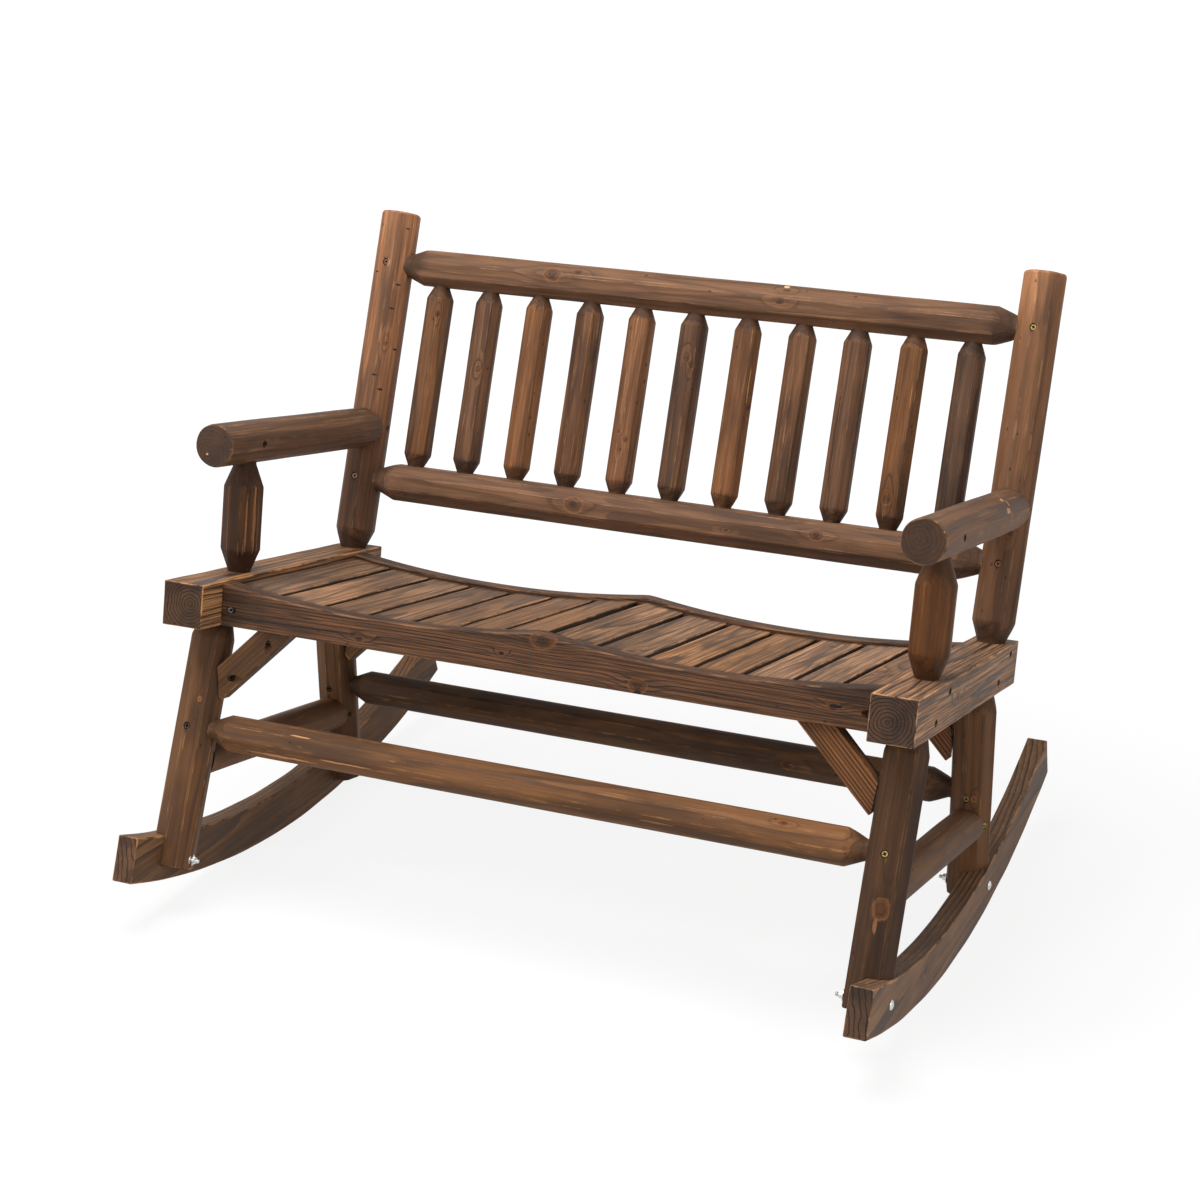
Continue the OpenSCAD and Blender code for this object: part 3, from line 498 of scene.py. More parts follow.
def fastener_lines(node):
    """For each fastener in a CAD node: the top of its head, the way that its head faces, and its length."""
    lines = []
    for points in islands(node):
        middle = (points.min(0) + points.max(0)) / 2
        axis = np.linalg.svd(points - points.mean(0), full_matrices=False)[2][0]
        along = (points - middle) @ axis
        width = np.linalg.norm((points - middle) - np.outer(along, axis), axis=1)
        if along[width > width.max() * HEAD_SHARE].mean() < 0:
            axis, along = -axis, -along
        centre = points[np.abs(along - along.min()) < FOOT_DEPTH].mean(0)
        length = along.max() - along.min()
        lines.append((Vector(centre + axis * length), Vector(axis), length))
    return lines


screw_lines = {n: fastener_lines(n) for n in ("pin_screws", "apron_screws", "brace_screws", "seat_screws")}


def mesh_from(made, name):
    """Turns a mesh in the making into a mesh."""
    mesh = bpy.data.meshes.new(name)
    made.to_mesh(mesh)
    made.free()
    return mesh


def rod_mesh(matrix, radius, start, end, sides=64):
    made = bmesh.new()
    bmesh.ops.create_cone(
        made, cap_ends=True, segments=sides, radius1=radius, radius2=radius, depth=end - start,
        matrix=matrix @ Matrix.Translation((0, 0, (start + end) / 2)),
    )
    return mesh_from(made, "rod")


def cut_away(piece, cutters):
    """Takes the cutter meshes out of a piece, and applies the cuts."""
    tools = [linked("cutter", mesh) for mesh in cutters]
    for tool in tools:
        cut = piece.modifiers.new("cut", "BOOLEAN")
        cut.operation = "DIFFERENCE"
        cut.solver = "EXACT"
        cut.object = tool
    graph = bpy.context.evaluated_depsgraph_get()
    solid = bpy.data.meshes.new_from_object(piece.evaluated_get(graph))
    piece.modifiers.clear()
    piece.data = solid
    for tool in tools:
        bpy.data.objects.remove(tool)


def screw_holes(matrix, reach, low, high):
    """Counterbores of the screws whose heads sit inside a piece of this length and reach to each side."""
    back = matrix.inverted()
    reach_x, reach_y = np.broadcast_to(reach, 2)
    holes = []
    for head, way, _ in sum(screw_lines.values(), []):
        foot = head - way * HEAD_HEIGHT
        inside = back @ foot
        if abs(inside.x) < reach_x and abs(inside.y) < reach_y and low < inside.z < high:
            holes.append(rod_mesh(facing(foot, way), HOLE_RADIUS, 0.0, HOLE_DEPTH, sides=24))
    return holes


def nearest_mark(mesh, local, marks):
    """Offset of each face corner from the (x, y, z, size) mark nearest to its face, in that mark's sizes."""
    corners = np.zeros(len(mesh.loops), int)
    starts, counts = np.zeros((2, len(mesh.polygons)), int)
    mesh.loops.foreach_get("vertex_index", corners)
    mesh.polygons.foreach_get("loop_start", starts)
    mesh.polygons.foreach_get("loop_total", counts)
    if not marks:
        return np.full((len(corners), 3), FAR_OFF)
    places = np.array([m[:3] for m in marks])
    sizes = np.array([np.broadcast_to(m[3], 3) for m in marks])
    middles = np.add.reduceat(local[corners], starts) / counts[:, None]
    nearest = np.linalg.norm((middles[:, None] - places) / sizes, axis=2).argmin(1).repeat(counts)
    return (local[corners] - places[nearest]) / sizes[nearest]


def worn(mesh, axis):
    """Wear of each corner by how sharp its edges are, and 1 for the corners of faces that cross the grain."""
    worked = bmesh.new()
    worked.from_mesh(mesh)
    wear, end = np.zeros((2, len(mesh.vertices)))
    for e in worked.edges:
        if len(e.link_faces) == 2:
            bend = math.degrees(e.calc_face_angle_signed(0.0))
            share = min(1.0, (bend - BENT_LEAST) / (BENT_MOST - BENT_LEAST))
            for v in e.verts:
                wear[v.index] = max(wear[v.index], share)
    for f in worked.faces:
        if abs(f.normal.dot(axis)) > ACROSS_GRAIN:
            for v in f.verts:
                end[v.index] = 1.0
    worked.free()
    return wear, end


def dressed(piece, node, material, sharp):
    """Gives a piece its finish, with edges sharp from so many degrees, and puts it on its node."""
    mesh = piece.data
    mesh.polygons.foreach_set("use_smooth", np.ones(len(mesh.polygons), bool))
    mesh.set_sharp_from_angle(angle=math.radians(sharp))
    mesh.materials.append(material)
    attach(piece, "root")
    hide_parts(node)


def finished(
    node, kind, slot, material, shell, matrix, seed, reach=0.0, pith=(0.0, 0.0), tone=1.0, warmth=1.0,
    knots=(), scars=(), tips=(0.0, 0.0), sides=0.0, cutters=(), rim_wear=0.15, end_tone=1.0,
):
    """One timber from its local mesh: placed, cut, marked with its grain, and put on its node.

    The tone is one value, or several that are evenly spaced from the low end to the high end.
    """
    corners, faces = shell
    name = f"{node}_{kind}"
    mesh = bpy.data.meshes.new(name)
    mesh.from_pydata([matrix @ Vector(c) for c in corners], [], faces)
    piece = linked(name, mesh)
    low, high = corners[:, 2].min(), corners[:, 2].max()
    before = KDTree(len(mesh.vertices))
    for v in mesh.vertices:
        before.insert(v.co, v.index)
    before.balance()
    cutters = list(cutters) + screw_holes(matrix, reach, low, high)
    if cutters:
        cut_away(piece, cutters)
    mesh = piece.data
    mesh.name = name
    count = len(mesh.vertices)
    world_points = np.zeros(count * 3)
    mesh.vertices.foreach_get("co", world_points)
    turn = np.array(matrix.inverted())
    local = world_points.reshape(-1, 3) @ turn[:3, :3].T + turn[:3, 3]

    grain = local + np.array([-pith[0], -pith[1], seed * SEED_SPREAD])
    # Ends darken where they go into other parts: part char, and part painted shade at the joints.
    char_and_shade = np.zeros(count)
    for reach_in, depth in ((tips[0], local[:, 2] - low), (tips[1], high - local[:, 2])):
        if reach_in:
            char_and_shade = np.maximum(char_and_shade, np.clip(TIP_CHAR_AND_SHADE - depth / reach_in, 0.0, 1.0))
    # Slat sides darken downwards: burnt top edges, then painted shade down the walls of the gaps.
    if sides:
        down = (local[:, 1].max() - local[:, 1]) / sides
        char_and_shade = np.maximum(char_and_shade, SIDE_SHADE_AND_CHAR * np.clip(down, 0.0, 1.0) ** 1.5)
    wear, end = worn(mesh, matrix.to_3x3() @ Vector((0, 0, 1)))
    wear[[before.find(v.co)[2] > FRESH_CUT for v in mesh.vertices]] *= rim_wear
    wear[end > 0.5] *= END_WEAR
    shade = np.interp(local[:, 2], np.linspace(low, high, np.size(tone)), np.atleast_1d(tone))
    shade[end > 0.5] *= end_tone

    warm = np.full(count, warmth * WARMTH_GAIN)
    carried = {"wear": wear, "end_grain": end, "char_and_shade": char_and_shade, "tone": shade, "warmth": warm}
    for label, values in carried.items():
        mesh.attributes.new(label, "FLOAT", "POINT").data.foreach_set("value", values)
    mesh.attributes.new("grain", "FLOAT_VECTOR", "POINT").data.foreach_set("vector", grain.ravel())
    for label, marks in (("knot_at", knots), ("scar_at", scars)):
        offsets = nearest_mark(mesh, local, marks)
        mesh.attributes.new(label, "FLOAT_VECTOR", "CORNER").data.foreach_set("vector", offsets.ravel())
    mesh.materials.clear()
    dressed(piece, node, material, WOOD_SHARP)


def shell_of(corners, around):
    """Closed shell from rings of corners. A smaller ring inside each end keeps the wear at the rim."""
    first, last = corners[:around], corners[-around:]
    near, far = first.mean(0), last.mean(0)
    corners = np.vstack([near + (first - near) * CAP_SHARE, corners, far + (last - far) * CAP_SHARE])
    faces = [tuple(range(around))[::-1]]
    for low in range(0, len(corners) - around, around):
        high = low + around
        for k in range(around):
            n = (k + 1) % around
            faces.append((low + k, low + n, high + n, high + k))
    faces.append(tuple(range(len(corners) - around, len(corners))))
    return corners, faces


def sawn(width, height, low, high, seed, ease=0.0016, end_ease=0.0012, step=0.011, across=6, sway=0.0003):
    """Closed shell of a sawn timber along local Z, its edges eased unevenly and its faces a little wavy."""
    rng = np.random.default_rng(seed)
    round_off = [ripple(rng, 4, 0, 60.0) for _ in range(4)]
    wave = ripple(rng, 6, 3, 30.0)
    count = max(2, int((high - low) / step))
    lengths = [low, low + 0.35 * end_ease, low + end_ease, low + 3 * end_ease]
    lengths += list(np.linspace(low + end_ease, high - end_ease, count + 1)[1:-1])
    lengths += [high - 3 * end_ease, high - end_ease, high - 0.35 * end_ease, high]
    insets = [end_ease, 0.3 * end_ease, 0.0] + [0.0] * (count + 1) + [0.0, 0.3 * end_ease, end_ease]
    quarters = [(1, 1), (-1, 1), (-1, -1), (1, -1)]
    corners = []
    for z, inset in zip(lengths, insets):
        arcs = []
        for n, (sx, sy) in enumerate(quarters):
            e = ease * (EASE_LEAST + EASE_SPREAD * float(round_off[n](0.0, z)))
            mx, my = sx * (width / 2 - inset - e), sy * (height / 2 - inset - e)
            turns = np.linspace(0, math.pi / 2, 4) + n * math.pi / 2
            arcs.append([(mx + e * math.cos(t), my + e * math.sin(t)) for t in turns])
        for n, arc in enumerate(arcs):
            corners += [(x, y, z) for x, y in arc]
            (ax, ay), (bx, by) = arc[-1], arcs[(n + 1) % 4][0]
            for t in [0.03, *np.linspace(0, 1, across)[1:-1], 0.97]:
                x, y = ax + (bx - ax) * t, ay + (by - ay) * t
                dip = sway * float(wave(math.atan2(y, x), z)) * 4 * t * (1 - t)
                if n % 2 == 0:
                    y -= math.copysign(dip, y)
                else:
                    x -= math.copysign(dip, x)
                corners.append((x, y, z))
    return shell_of(np.array(corners), 4 * (4 + across))


def reshaped(shell, change):
    """A shell with every corner moved by a function of its x, y and z."""
    corners, faces = shell
    return np.array([change(*c) for c in corners]), faces


beam_fir = burnt_fir(
    "beam_fir", "ac8059", "70503a", "2a1d16", 0.0050, 0.011, 1.35, 0.3,
    bands=0.18, rub=0.65, streaks=0.3, ramp=0.3, lines=0.85, fine=0.8, end_rings=1.0,
)
for name, side, tone, warmth, pith, knot in (
    ("left", -1, 1.7, 1.0, (0.012, 0.004), (-0.01, 0.032, 0.40, 0.007)),
    ("right", 1, 1.65, 0.92, (-0.006, -0.004), (0.032, 0.003, 0.341, 0.006)),
):
    seed = 11 + side
    finished(
        name + "_seat_beam", "timber", "sawn_timber", beam_fir, sawn(BEAM, BEAM, 0.0, BEAM_LENGTH, seed),
        stand((side * SIDE_X, BEAM_LENGTH, -BEAM / 2), (0, -1, 0)), seed, BEAM / 2,
        pith=pith, tone=tone, warmth=warmth, end_tone=0.55, knots=[knot],
    )

# Aprons
# A board across the front and one across the rear join the beams. Two shallow hollows are
# sawn in the top edge of each, one for each sitter, with a hump left between them.

APRON_DROP = 0.003
APRON_THICK = 0.032
INNER_HALF = 0.495
HOLLOW_X = 0.2475
HOLLOW_HALF = 0.2435
HOLLOW_RADIUS = 1.722299
HOLLOW_Z = 1.701999


def hollow_top(x, radius):
    """Height at a place across the bench of the top edge that arcs of this radius give."""
    near = min(abs(abs(x) - HOLLOW_X), HOLLOW_HALF)
    return HOLLOW_Z - math.sqrt(radius**2 - near**2)


def hollowed(x, y, z):
    bottom = -BEAM / 2
    y -= APRON_DROP / 2
    rise = hollow_top(z, HOLLOW_RADIUS) + BEAM
    return (x, bottom + (y - bottom) * rise / (BEAM - APRON_DROP), z)


apron_fir = burnt_fir(
    "apron_fir", "85593b", "503626", "22170f", 0.0048, 0.010, 0.9, 0.45, pins=0.03, bands=0.65, rub=0.3,
    streaks=0.45, ramp=0.3, lines=0.75, fine=0.8, clouds=0.6, scar_colour="0f0906",
)
apron_scars = [
    (-0.016, -0.0044, 0.434, (0.006, 0.0026, 0.009)),
    (-0.016, -0.031, 0.157, (0.004, 0.004, 0.006)),
    (-0.016, -0.006, -0.048, (0.002, 0.002, 0.004)),
]
front_apron_knots = [
    (-0.016, 0.0215, 0.013, 0.011),
    (-0.016, -0.0206, 0.156, 0.008),
    (-0.016, -0.006, -0.048, 0.003),
    (-0.016, -0.0047, 0.431, 0.005),
    (-0.016, -0.018, -0.27, 0.005),
]
for name, middle_y, seed, knots in (
    ("front", 0.070, 21, front_apron_knots),
    ("rear", 0.470, 22, [(0.016, 0.0, 0.22, 0.008)]),
):
    plank = sawn(APRON_THICK, BEAM - APRON_DROP, -INNER_HALF, INNER_HALF, seed, ease=0.0022)
    finished(
        name + "_apron", "board", "sawn_timber", apron_fir, reshaped(plank, hollowed),
        stand((0.0, middle_y, -BEAM / 2), (1, 0, 0), (0, 1, 0)), seed, (APRON_THICK / 2, BEAM / 2),
        pith=(-0.03, -0.035), tone=0.9, warmth=0.95, knots=knots, scars=apron_scars,
    )

# Cleats
# Inside each apron a batten, sawn to the same double hollow, carries the slats. Screws go
# through it into the apron, and up into every slat.

CLEAT_THICK = 0.022
CLEAT_RADIUS = 1.74764
CLEAT_TOP = -0.028594
CLEAT_BOTTOM = -0.060
CLEAT_HALF = INNER_HALF - 0.001
cleat_height = CLEAT_TOP - CLEAT_BOTTOM


def cleat_shape(x, y, z):
    share = y / cleat_height + 0.5
    return (x, CLEAT_BOTTOM + share * (hollow_top(z, CLEAT_RADIUS) - CLEAT_BOTTOM) + BEAM / 2, z)


cleat_fir = burnt_fir("cleat_fir", "6d4a32", "523828", "2e2019", 0.003, 0.01, 0.5, 0.6)
for name, middle_y, seed in (("front", 0.097, 31), ("rear", 0.443, 32)):
    batten = sawn(CLEAT_THICK, cleat_height, -CLEAT_HALF, CLEAT_HALF, seed)
    finished(
        name + "_cleat", "batten", "sawn_timber", cleat_fir, reshaped(batten, cleat_shape),
        stand((0.0, middle_y, -BEAM / 2), (1, 0, 0), (0, 1, 0)), seed, (CLEAT_THICK / 2, BEAM / 2),
        pith=(-0.03, 0.02), tone=0.85,
    )

# Seat slats
# Fourteen short boards, front to back, follow the hollows. They are flat-sawn from different
# logs, so that each has its own figure and shade, and their edges are well rounded.

SLAT_COUNT = 14
SLAT_GAP = 0.0103
SLAT_ROW_PLAY = 0.002
SLAT_PITCH = (2 * INNER_HALF - SLAT_ROW_PLAY + SLAT_GAP) / SLAT_COUNT
SLAT_WIDTH = SLAT_PITCH - SLAT_GAP
SLAT_THICK = 0.020
SLAT_LENGTH = 0.366
SLAT_FRONT = 0.087
SLAT_RADIUS = 1.747299
slat_tones = (1.05, 1.5, 1.12, 0.96, 1.15, 1.08, 1.0, 1.25, 1.25, 1.3, 1.05, 1.5, 1.75, 1.1)
slat_knots = {
    5: [(-0.016, 0.01, 0.18, 0.006)],
    9: [(0.008, 0.01, 0.33, 0.007)],
    12: [(0.0, 0.01, 0.05, 0.006)],
    14: [(-0.012, 0.01, 0.23, 0.010)],
}

slat_fir = burnt_fir(
    "slat_fir", "b58356", "6d4b33", "2a1d14", 0.0056, 0.022, 0.75, 0.35,
    pins=0.06, bands=0.4, rub=0.5, streaks=0.38, ramp=0.35, lines=0.65, fine=0.9,
)
for number, tone in enumerate(slat_tones, 1):
    x = (number - (SLAT_COUNT + 1) / 2) * SLAT_PITCH
    centre = math.copysign(HOLLOW_X, x)
    swing = math.asin((x - centre) / SLAT_RADIUS)
    up = Vector((-math.sin(swing), 0, math.cos(swing)))
    under = Vector((centre + SLAT_RADIUS * math.sin(swing), 0, HOLLOW_Z - SLAT_RADIUS * math.cos(swing)))
    middle = under + up * SLAT_THICK / 2 + Vector((0, SLAT_FRONT + SLAT_LENGTH, 0))
    seed = 40 + number
    rng = np.random.default_rng(400 + number)
    plank = sawn(SLAT_WIDTH, SLAT_THICK, 0.0, SLAT_LENGTH, seed, 0.0018, 0.0018, across=8, sway=0.0005)
    # Each slat is painted darker down its sides, as shade in the gaps between slats, and towards its ends,
    # part char and part painted shade.
    finished(
        f"seat_slat_{number:02d}", "board", "slat_timber", slat_fir, plank,
        stand(middle, (0, -1, 0), (math.cos(swing), 0, math.sin(swing))), seed,
        pith=(rng.uniform(-0.03, 0.03), -rng.uniform(0.012, 0.05)), tone=tone, warmth=rng.uniform(0.84, 0.95),
        knots=slat_knots.get(number, ()), tips=(0.012, 0.03), sides=0.0025,
    )

# Back posts
# Two peeled logs lean back from the rear of the seat. Their feet are cut like a pencil, and
# their tops are sawn off square and eased.

BACK_LEAN = math.radians(9.78)
POST_Y = 0.5073
POST_LENGTH = 0.542
LOG_RADIUS = 0.032
LOG_SWAY = 0.0006
EDGE_BLEND = 0.0012
DEPTH_SPREAD = 0.008
EDGE_ON = 0.3
NICK = (0.0046, 0.0046, 0.0017)
FLAT_STEPS = (0.0, 0.03, 0.08, 0.16, 0.3, 0.5, 0.7, 0.84, 0.92, 0.97)
up_back = Vector((0, math.sin(BACK_LEAN), math.cos(BACK_LEAN)))


def peeled(profile, seed, flats=8, flat_share=0.943, turn=0.0, spread=5.0, pointed=0.8, step=0.009):
    """Closed shell of a log along local Z from its (height, radius) profile, with long hewn flats."""
    rng = np.random.default_rng(seed)
    known_z, known_r = np.array(profile).T
    heights = [known_z[0]]
    for z0, z1 in zip(known_z, known_z[1:]):
        heights += list(np.linspace(z0, z1, max(2, int((z1 - z0) / step) + 1))[1:])
    for z in known_z[1:-1]:
        heights += [z + n * EDGE_BLEND for n in (-2, -1, 1, 2)]
    heights = sorted(h for h in set(np.round(heights, 5)) if known_z[0] <= h <= known_z[-1])
    kept = [heights[0]]
    for h in heights[1:]:
        if h - kept[-1] > EDGE_BLEND / 2:
            kept.append(h)
    kept[-1] = heights[-1]
    z = np.array(kept)
    radius = sum(np.interp(z + d, known_z, known_r) for d in np.linspace(-EDGE_BLEND, EDGE_BLEND, 5)) / 5
    radius[0], radius[-1] = known_r[0], known_r[-1]
    full = known_r.max()
    toward, offsets = [], []
    for k in range(flats):
        toward.append(2 * math.pi * k / flats + math.radians(turn + rng.uniform(-spread, spread)))
        slow = ripple(rng, 3, 0, 26.0)
        share = min(1.0, flat_share + rng.uniform(-DEPTH_SPREAD, DEPTH_SPREAD))
        offset = full * share - LOG_SWAY * slow(0.0, z)
        offsets.append(offset * (1 - pointed + pointed * radius / full))

    # Each ring has its corners where two flats meet, so that the hewn edges stay crisp
    meets = []
    next_way, next_offset = toward[1:] + [toward[0] + 2 * math.pi], offsets[1:] + offsets[:1]
    for a1, a2, d1, d2 in zip(toward, next_way, offsets, next_offset):
        meets.append((a1 + a2) / 2 + np.arctan((d2 - d1) / (d2 + d1) / math.tan((a2 - a1) / 2)))
    columns = []
    for start, stop in zip([meets[-1] - 2 * math.pi] + meets, meets):
        columns += [start + (stop - start) * t for t in FLAT_STEPS]
    angle = np.array(columns).T
    height = np.broadcast_to(z[:, None], angle.shape)
    bump = ripple(rng, 9, 5, 42.0)
    out = radius[:, None] - LOG_SWAY * bump(angle, height)
    for way, offset in zip(toward, offsets):
        front = np.cos(angle - way)
        reach = offset[:, None] / np.maximum(front, EDGE_ON)
        out = np.minimum(out, np.where(front > EDGE_ON, reach, 1.0))
    corners = np.stack([out * np.cos(angle), out * np.sin(angle), height], axis=2).reshape(-1, 3)
    return shell_of(corners, angle.shape[1])


left_post_fir = burnt_fir(
    "left_post_fir", "986847", "6c4831", "35241a", 0.0055, 0.012, 0.5, 0.3,
    torn=0.6, streaks=0.35, lines=0.3, fine=0.6, scar_colour="1c120c",
)
right_post_fir = burnt_fir(
    "right_post_fir", "835a3c", "64442f", "38271c", 0.0065, 0.014, 0.35, 0.35,
    pins=0.8, torn=0.4, streaks=0.1, lines=0.1, fine=0.45, clouds=0.65,
)
post_profile = [
    (-0.006, 0.0192), (0.0, 0.0205), (0.029, LOG_RADIUS), (POST_LENGTH - 0.002, LOG_RADIUS),
    (POST_LENGTH, LOG_RADIUS - 0.002),
]
# Both posts grow darker towards the foot and much lighter at the top.
left_post_tones, right_post_tones = (0.56, 0.46, 0.82, 1.3, 1.42, 2.3), (0.75, 0.75, 0.9, 1.0, 1.08, 1.2, 2.5)
left_post_nicks = [
    (0.0258, -0.019, 0.516, NICK), (0.0239, -0.0213, 0.425, NICK), (0.0199, -0.0251, 0.386, NICK),
    (0.0295, -0.0124, 0.322, NICK), (-0.014, -0.0288, 0.442, NICK), (0.0202, -0.0248, 0.255, NICK),
    (0.0088, -0.0308, 0.277, NICK),
]
for name, side, fir, tones, knot, nicks in (
    ("left", -1, left_post_fir, left_post_tones, (0.018, -0.026, 0.33, 0.004), left_post_nicks),
    ("right", 1, right_post_fir, right_post_tones, (0.01, -0.03, 0.16, 0.004), []),
):
    seed = 60 + side
    finished(
        name + "_back_post", "log", "peeled_log", fir, peeled(post_profile, seed, 7, 0.968, 12.0, 9.0),
        stand((side * SIDE_X, POST_Y, 0.0), up_back), seed, LOG_RADIUS,
        pith=(0.004 * side, 0.006), tone=tones, warmth=0.95, knots=[knot], scars=nicks, tips=(0.03, 0.0),
        rim_wear=0.6,
    )

# Rails of the back
# Two logs, hewn to eight flats, run between the posts. Their ends are cut like pencils and
# their tenons go into the posts, where screws from the front pin them.

RAIL_HALF = 0.495
RAIL_RADIUS = 0.0305


def pencil(half, tenon, tip, taper, full):
    """Profile of a log with pencil ends, each with the stub of a tenon of tip radius, and a taper to full."""
    low = [(-half - tenon, tip), (-half, tip), (-half + taper, full)]
    return low + [(-z, r) for z, r in low[::-1]]


rail_fir = burnt_fir(
    "rail_fir", "865d3e", "65452f", "38261b", 0.0055, 0.014, 0.45, 0.3,
    bands=0.4, streaks=0.15, lines=0.22, fine=0.5, clouds=0.5, scar_colour="cfa672",
)
top_rail_knots = [
    (-0.0118, -0.0271, -0.237, 0.009), (-0.0186, -0.0229, -0.195, 0.005), (-0.0226, -0.019, 0.146, 0.0042),
    (-0.006, -0.029, 0.14, 0.005),
]
bottom_rail_knots = [
    (-0.0063, -0.0288, -0.145, 0.0095), (-0.0105, -0.0276, 0.249, 0.007), (0.0, -0.0295, 0.108, 0.003),
]
top_rail_nick = (-0.0268, -0.0124, 0.1433, (0.003, 0.003, 0.005))
for name, height, seed, tone, knots, scars in (
    ("top", 0.4587, 71, 1.06, top_rail_knots, [top_rail_nick]),
    ("bottom", 0.1127, 72, 1.12, bottom_rail_knots, []),
):
    finished(
        name + "_rail", "log", "peeled_log", rail_fir,
        peeled(pencil(RAIL_HALF, 0.006, 0.0185, 0.030, RAIL_RADIUS), seed, spread=4.0),
        stand(Vector((0, POST_Y, 0)) + up_back * height, (1, 0, 0), (0, 0, -1)), seed, RAIL_RADIUS,
        pith=(0.003, 0.007), tone=tone, warmth=0.89, knots=knots, scars=scars, tips=(0.038, 0.038),
    )

# Spindles
# Eleven small hewn uprights fill the back. Each was peeled from its own sapling, so their
# flats, shades and pin knots all differ.

SPINDLE_RADIUS = 0.022
SPINDLE_PITCH = 0.0872
SPINDLE_MIDDLE = 0.2857
SPINDLE_HALF = 0.14425
MIDDLE_SPINDLE, SPLIT_SPINDLE = 6, 7
PIN_KNOTTED = (3, 5, 7)
SPLIT = (0.0176, -0.012, 0.043, (0.0013, 0.0013, 0.036))
spindle_looks = (  # tone, warmth, turn of the flats, knots
    (0.95, 1.0, 0.0, [(0.008, -0.02, 0.10, 0.004)]),
    (0.9, 0.93, 9.0, [(0.006, -0.021, 0.02, 0.004)]),
    (1.06, 0.97, 18.0, []),
    (1.06, 0.97, 5.0, []),
    (1.05, 0.94, 14.0, [
        (-0.004, -0.0207, -0.049, 0.0028), (0.0086, -0.0192, -0.061, 0.003), (0.002, -0.0209, -0.077, 0.0028),
    ]),
    (0.80, 0.94, 3.0, [(0.0015, -0.0209, 0.074, 0.0042), (0.0104, -0.0182, 0.0655, 0.0045)]),
    (1.04, 0.97, 20.0, [(0.02, -0.006, 0.011, 0.004)]),
    (0.95, 0.95, 12.0, []),
    (0.8, 0.92, 2.0, []),
    (1.0, 1.02, 16.0, [(-0.004, -0.0206, -0.099, 0.0065)]),
    (0.62, 0.88, 7.0, []),
)
spindle_fir = burnt_fir(
    "spindle_fir", "8a5f40", "634430", "33231a", 0.0048, 0.014, 0.6, 0.4,
    pins=0.15, streaks=0.25, ramp=0.35, lines=0.35, fine=0.6, clouds=0.55,
)
pin_knot_fir = burnt_fir(
    "pin_knot_fir", "90613f", "6b4831", "35241a", 0.0060, 0.012, 0.4, 0.3,
    pins=0.6, bands=0.4, streaks=0.3, lines=0.25, fine=0.6,
)
for number, (tone, warmth, turn, knots) in enumerate(spindle_looks, 1):
    at = Vector(((number - MIDDLE_SPINDLE) * SPINDLE_PITCH, POST_Y, 0)) + up_back * SPINDLE_MIDDLE
    profile = pencil(SPINDLE_HALF, 0.004, 0.013, 0.019, SPINDLE_RADIUS)
    finished(
        f"spindle_{number:02d}", "upright", "spindle_timber",
        pin_knot_fir if number in PIN_KNOTTED else spindle_fir,
        peeled(profile, 80 + number, turn=turn, spread=7.0, step=0.008), stand(at, up_back), 80 + number,
        pith=(0.002, 0.003), tone=tone, warmth=warmth, knots=knots,
        scars=[SPLIT] if number == SPLIT_SPINDLE else [], tips=(0.026, 0.024),
    )

# Arms
# Each arm is a level log, sawn square at the front and hollowed at the rear to fit round
# the back post. A short hewn post with two pencil ends holds it off the beam.

ARM_HEIGHT = 0.193
ARM_FRONT = 0.062
ARM_BACK = 0.535
ARM_POST_Y = 0.1525
ARM_POST_RADIUS = 0.0295
ARM_POST_HALF = 0.0805
SCOOP_RADIUS = LOG_RADIUS + 0.0012
LEFT_ARM_GAP = 0.0022
arm_length = ARM_BACK - ARM_FRONT
arm_profile = [(0.0, LOG_RADIUS), (arm_length - 0.002, LOG_RADIUS), (arm_length, LOG_RADIUS - 0.002)]
arm_post_profile = pencil(ARM_POST_HALF, 0.006, 0.0165, 0.034, ARM_POST_RADIUS)
arm_fir = burnt_fir(
    "arm_fir", "7f5a3d", "5c402e", "33241b", 0.0062, 0.008, 0.5, 0.45,
    torn=1.0, bands=0.5, streaks=0.25, lines=0.35, fine=0.6, clouds=0.55, end_rings=0.35,
)
left_arm_post_fir = burnt_fir(
    "left_arm_post_fir", "6f4a31", "4a3223", "291b13", 0.0090, 0.009, 0.7, 0.6,
    fine=0.6, scar_colour="946d50",
)
right_arm_post_fir = burnt_fir(
    "right_arm_post_fir", "84583a", "65422b", "37251a", 0.0080, 0.010, 0.35, 0.3,
    pins=0.3, bands=0.3, streaks=0.2, ramp=0.15, lines=0.2, fine=0.5,
)
left_arm = {
    "pith": (-0.011, -0.013), "knots": [(0.0, 0.032, 0.12, 0.006)], "end_tone": 1.0,
    "scars": [(-0.011, -0.013, 0.473, (0.0021, 0.0021, 0.004))],
}
right_arm = {
    "pith": (-0.006, 0.004), "knots": [(-0.006, 0.031, 0.20, 0.008)], "end_tone": 0.85,
    "scars": [
        (0.0292, 0.0131, 0.134, (0.0042, 0.0042, 0.009)),
        (0.0168, 0.0272, 0.131, (0.0035, 0.0035, 0.008)),
        (0.024, 0.021, 0.119, (0.025, 0.025, 0.0018)),
    ],
}
arm_post_streaks = [
    (0.0195, -0.0208, -0.005, (0.0018, 0.0018, 0.05)),
    (0.0265, -0.0106, 0.0, (0.0028, 0.0028, 0.055)),
    (0.0283, -0.002, -0.01, (0.0012, 0.0012, 0.045)),
]
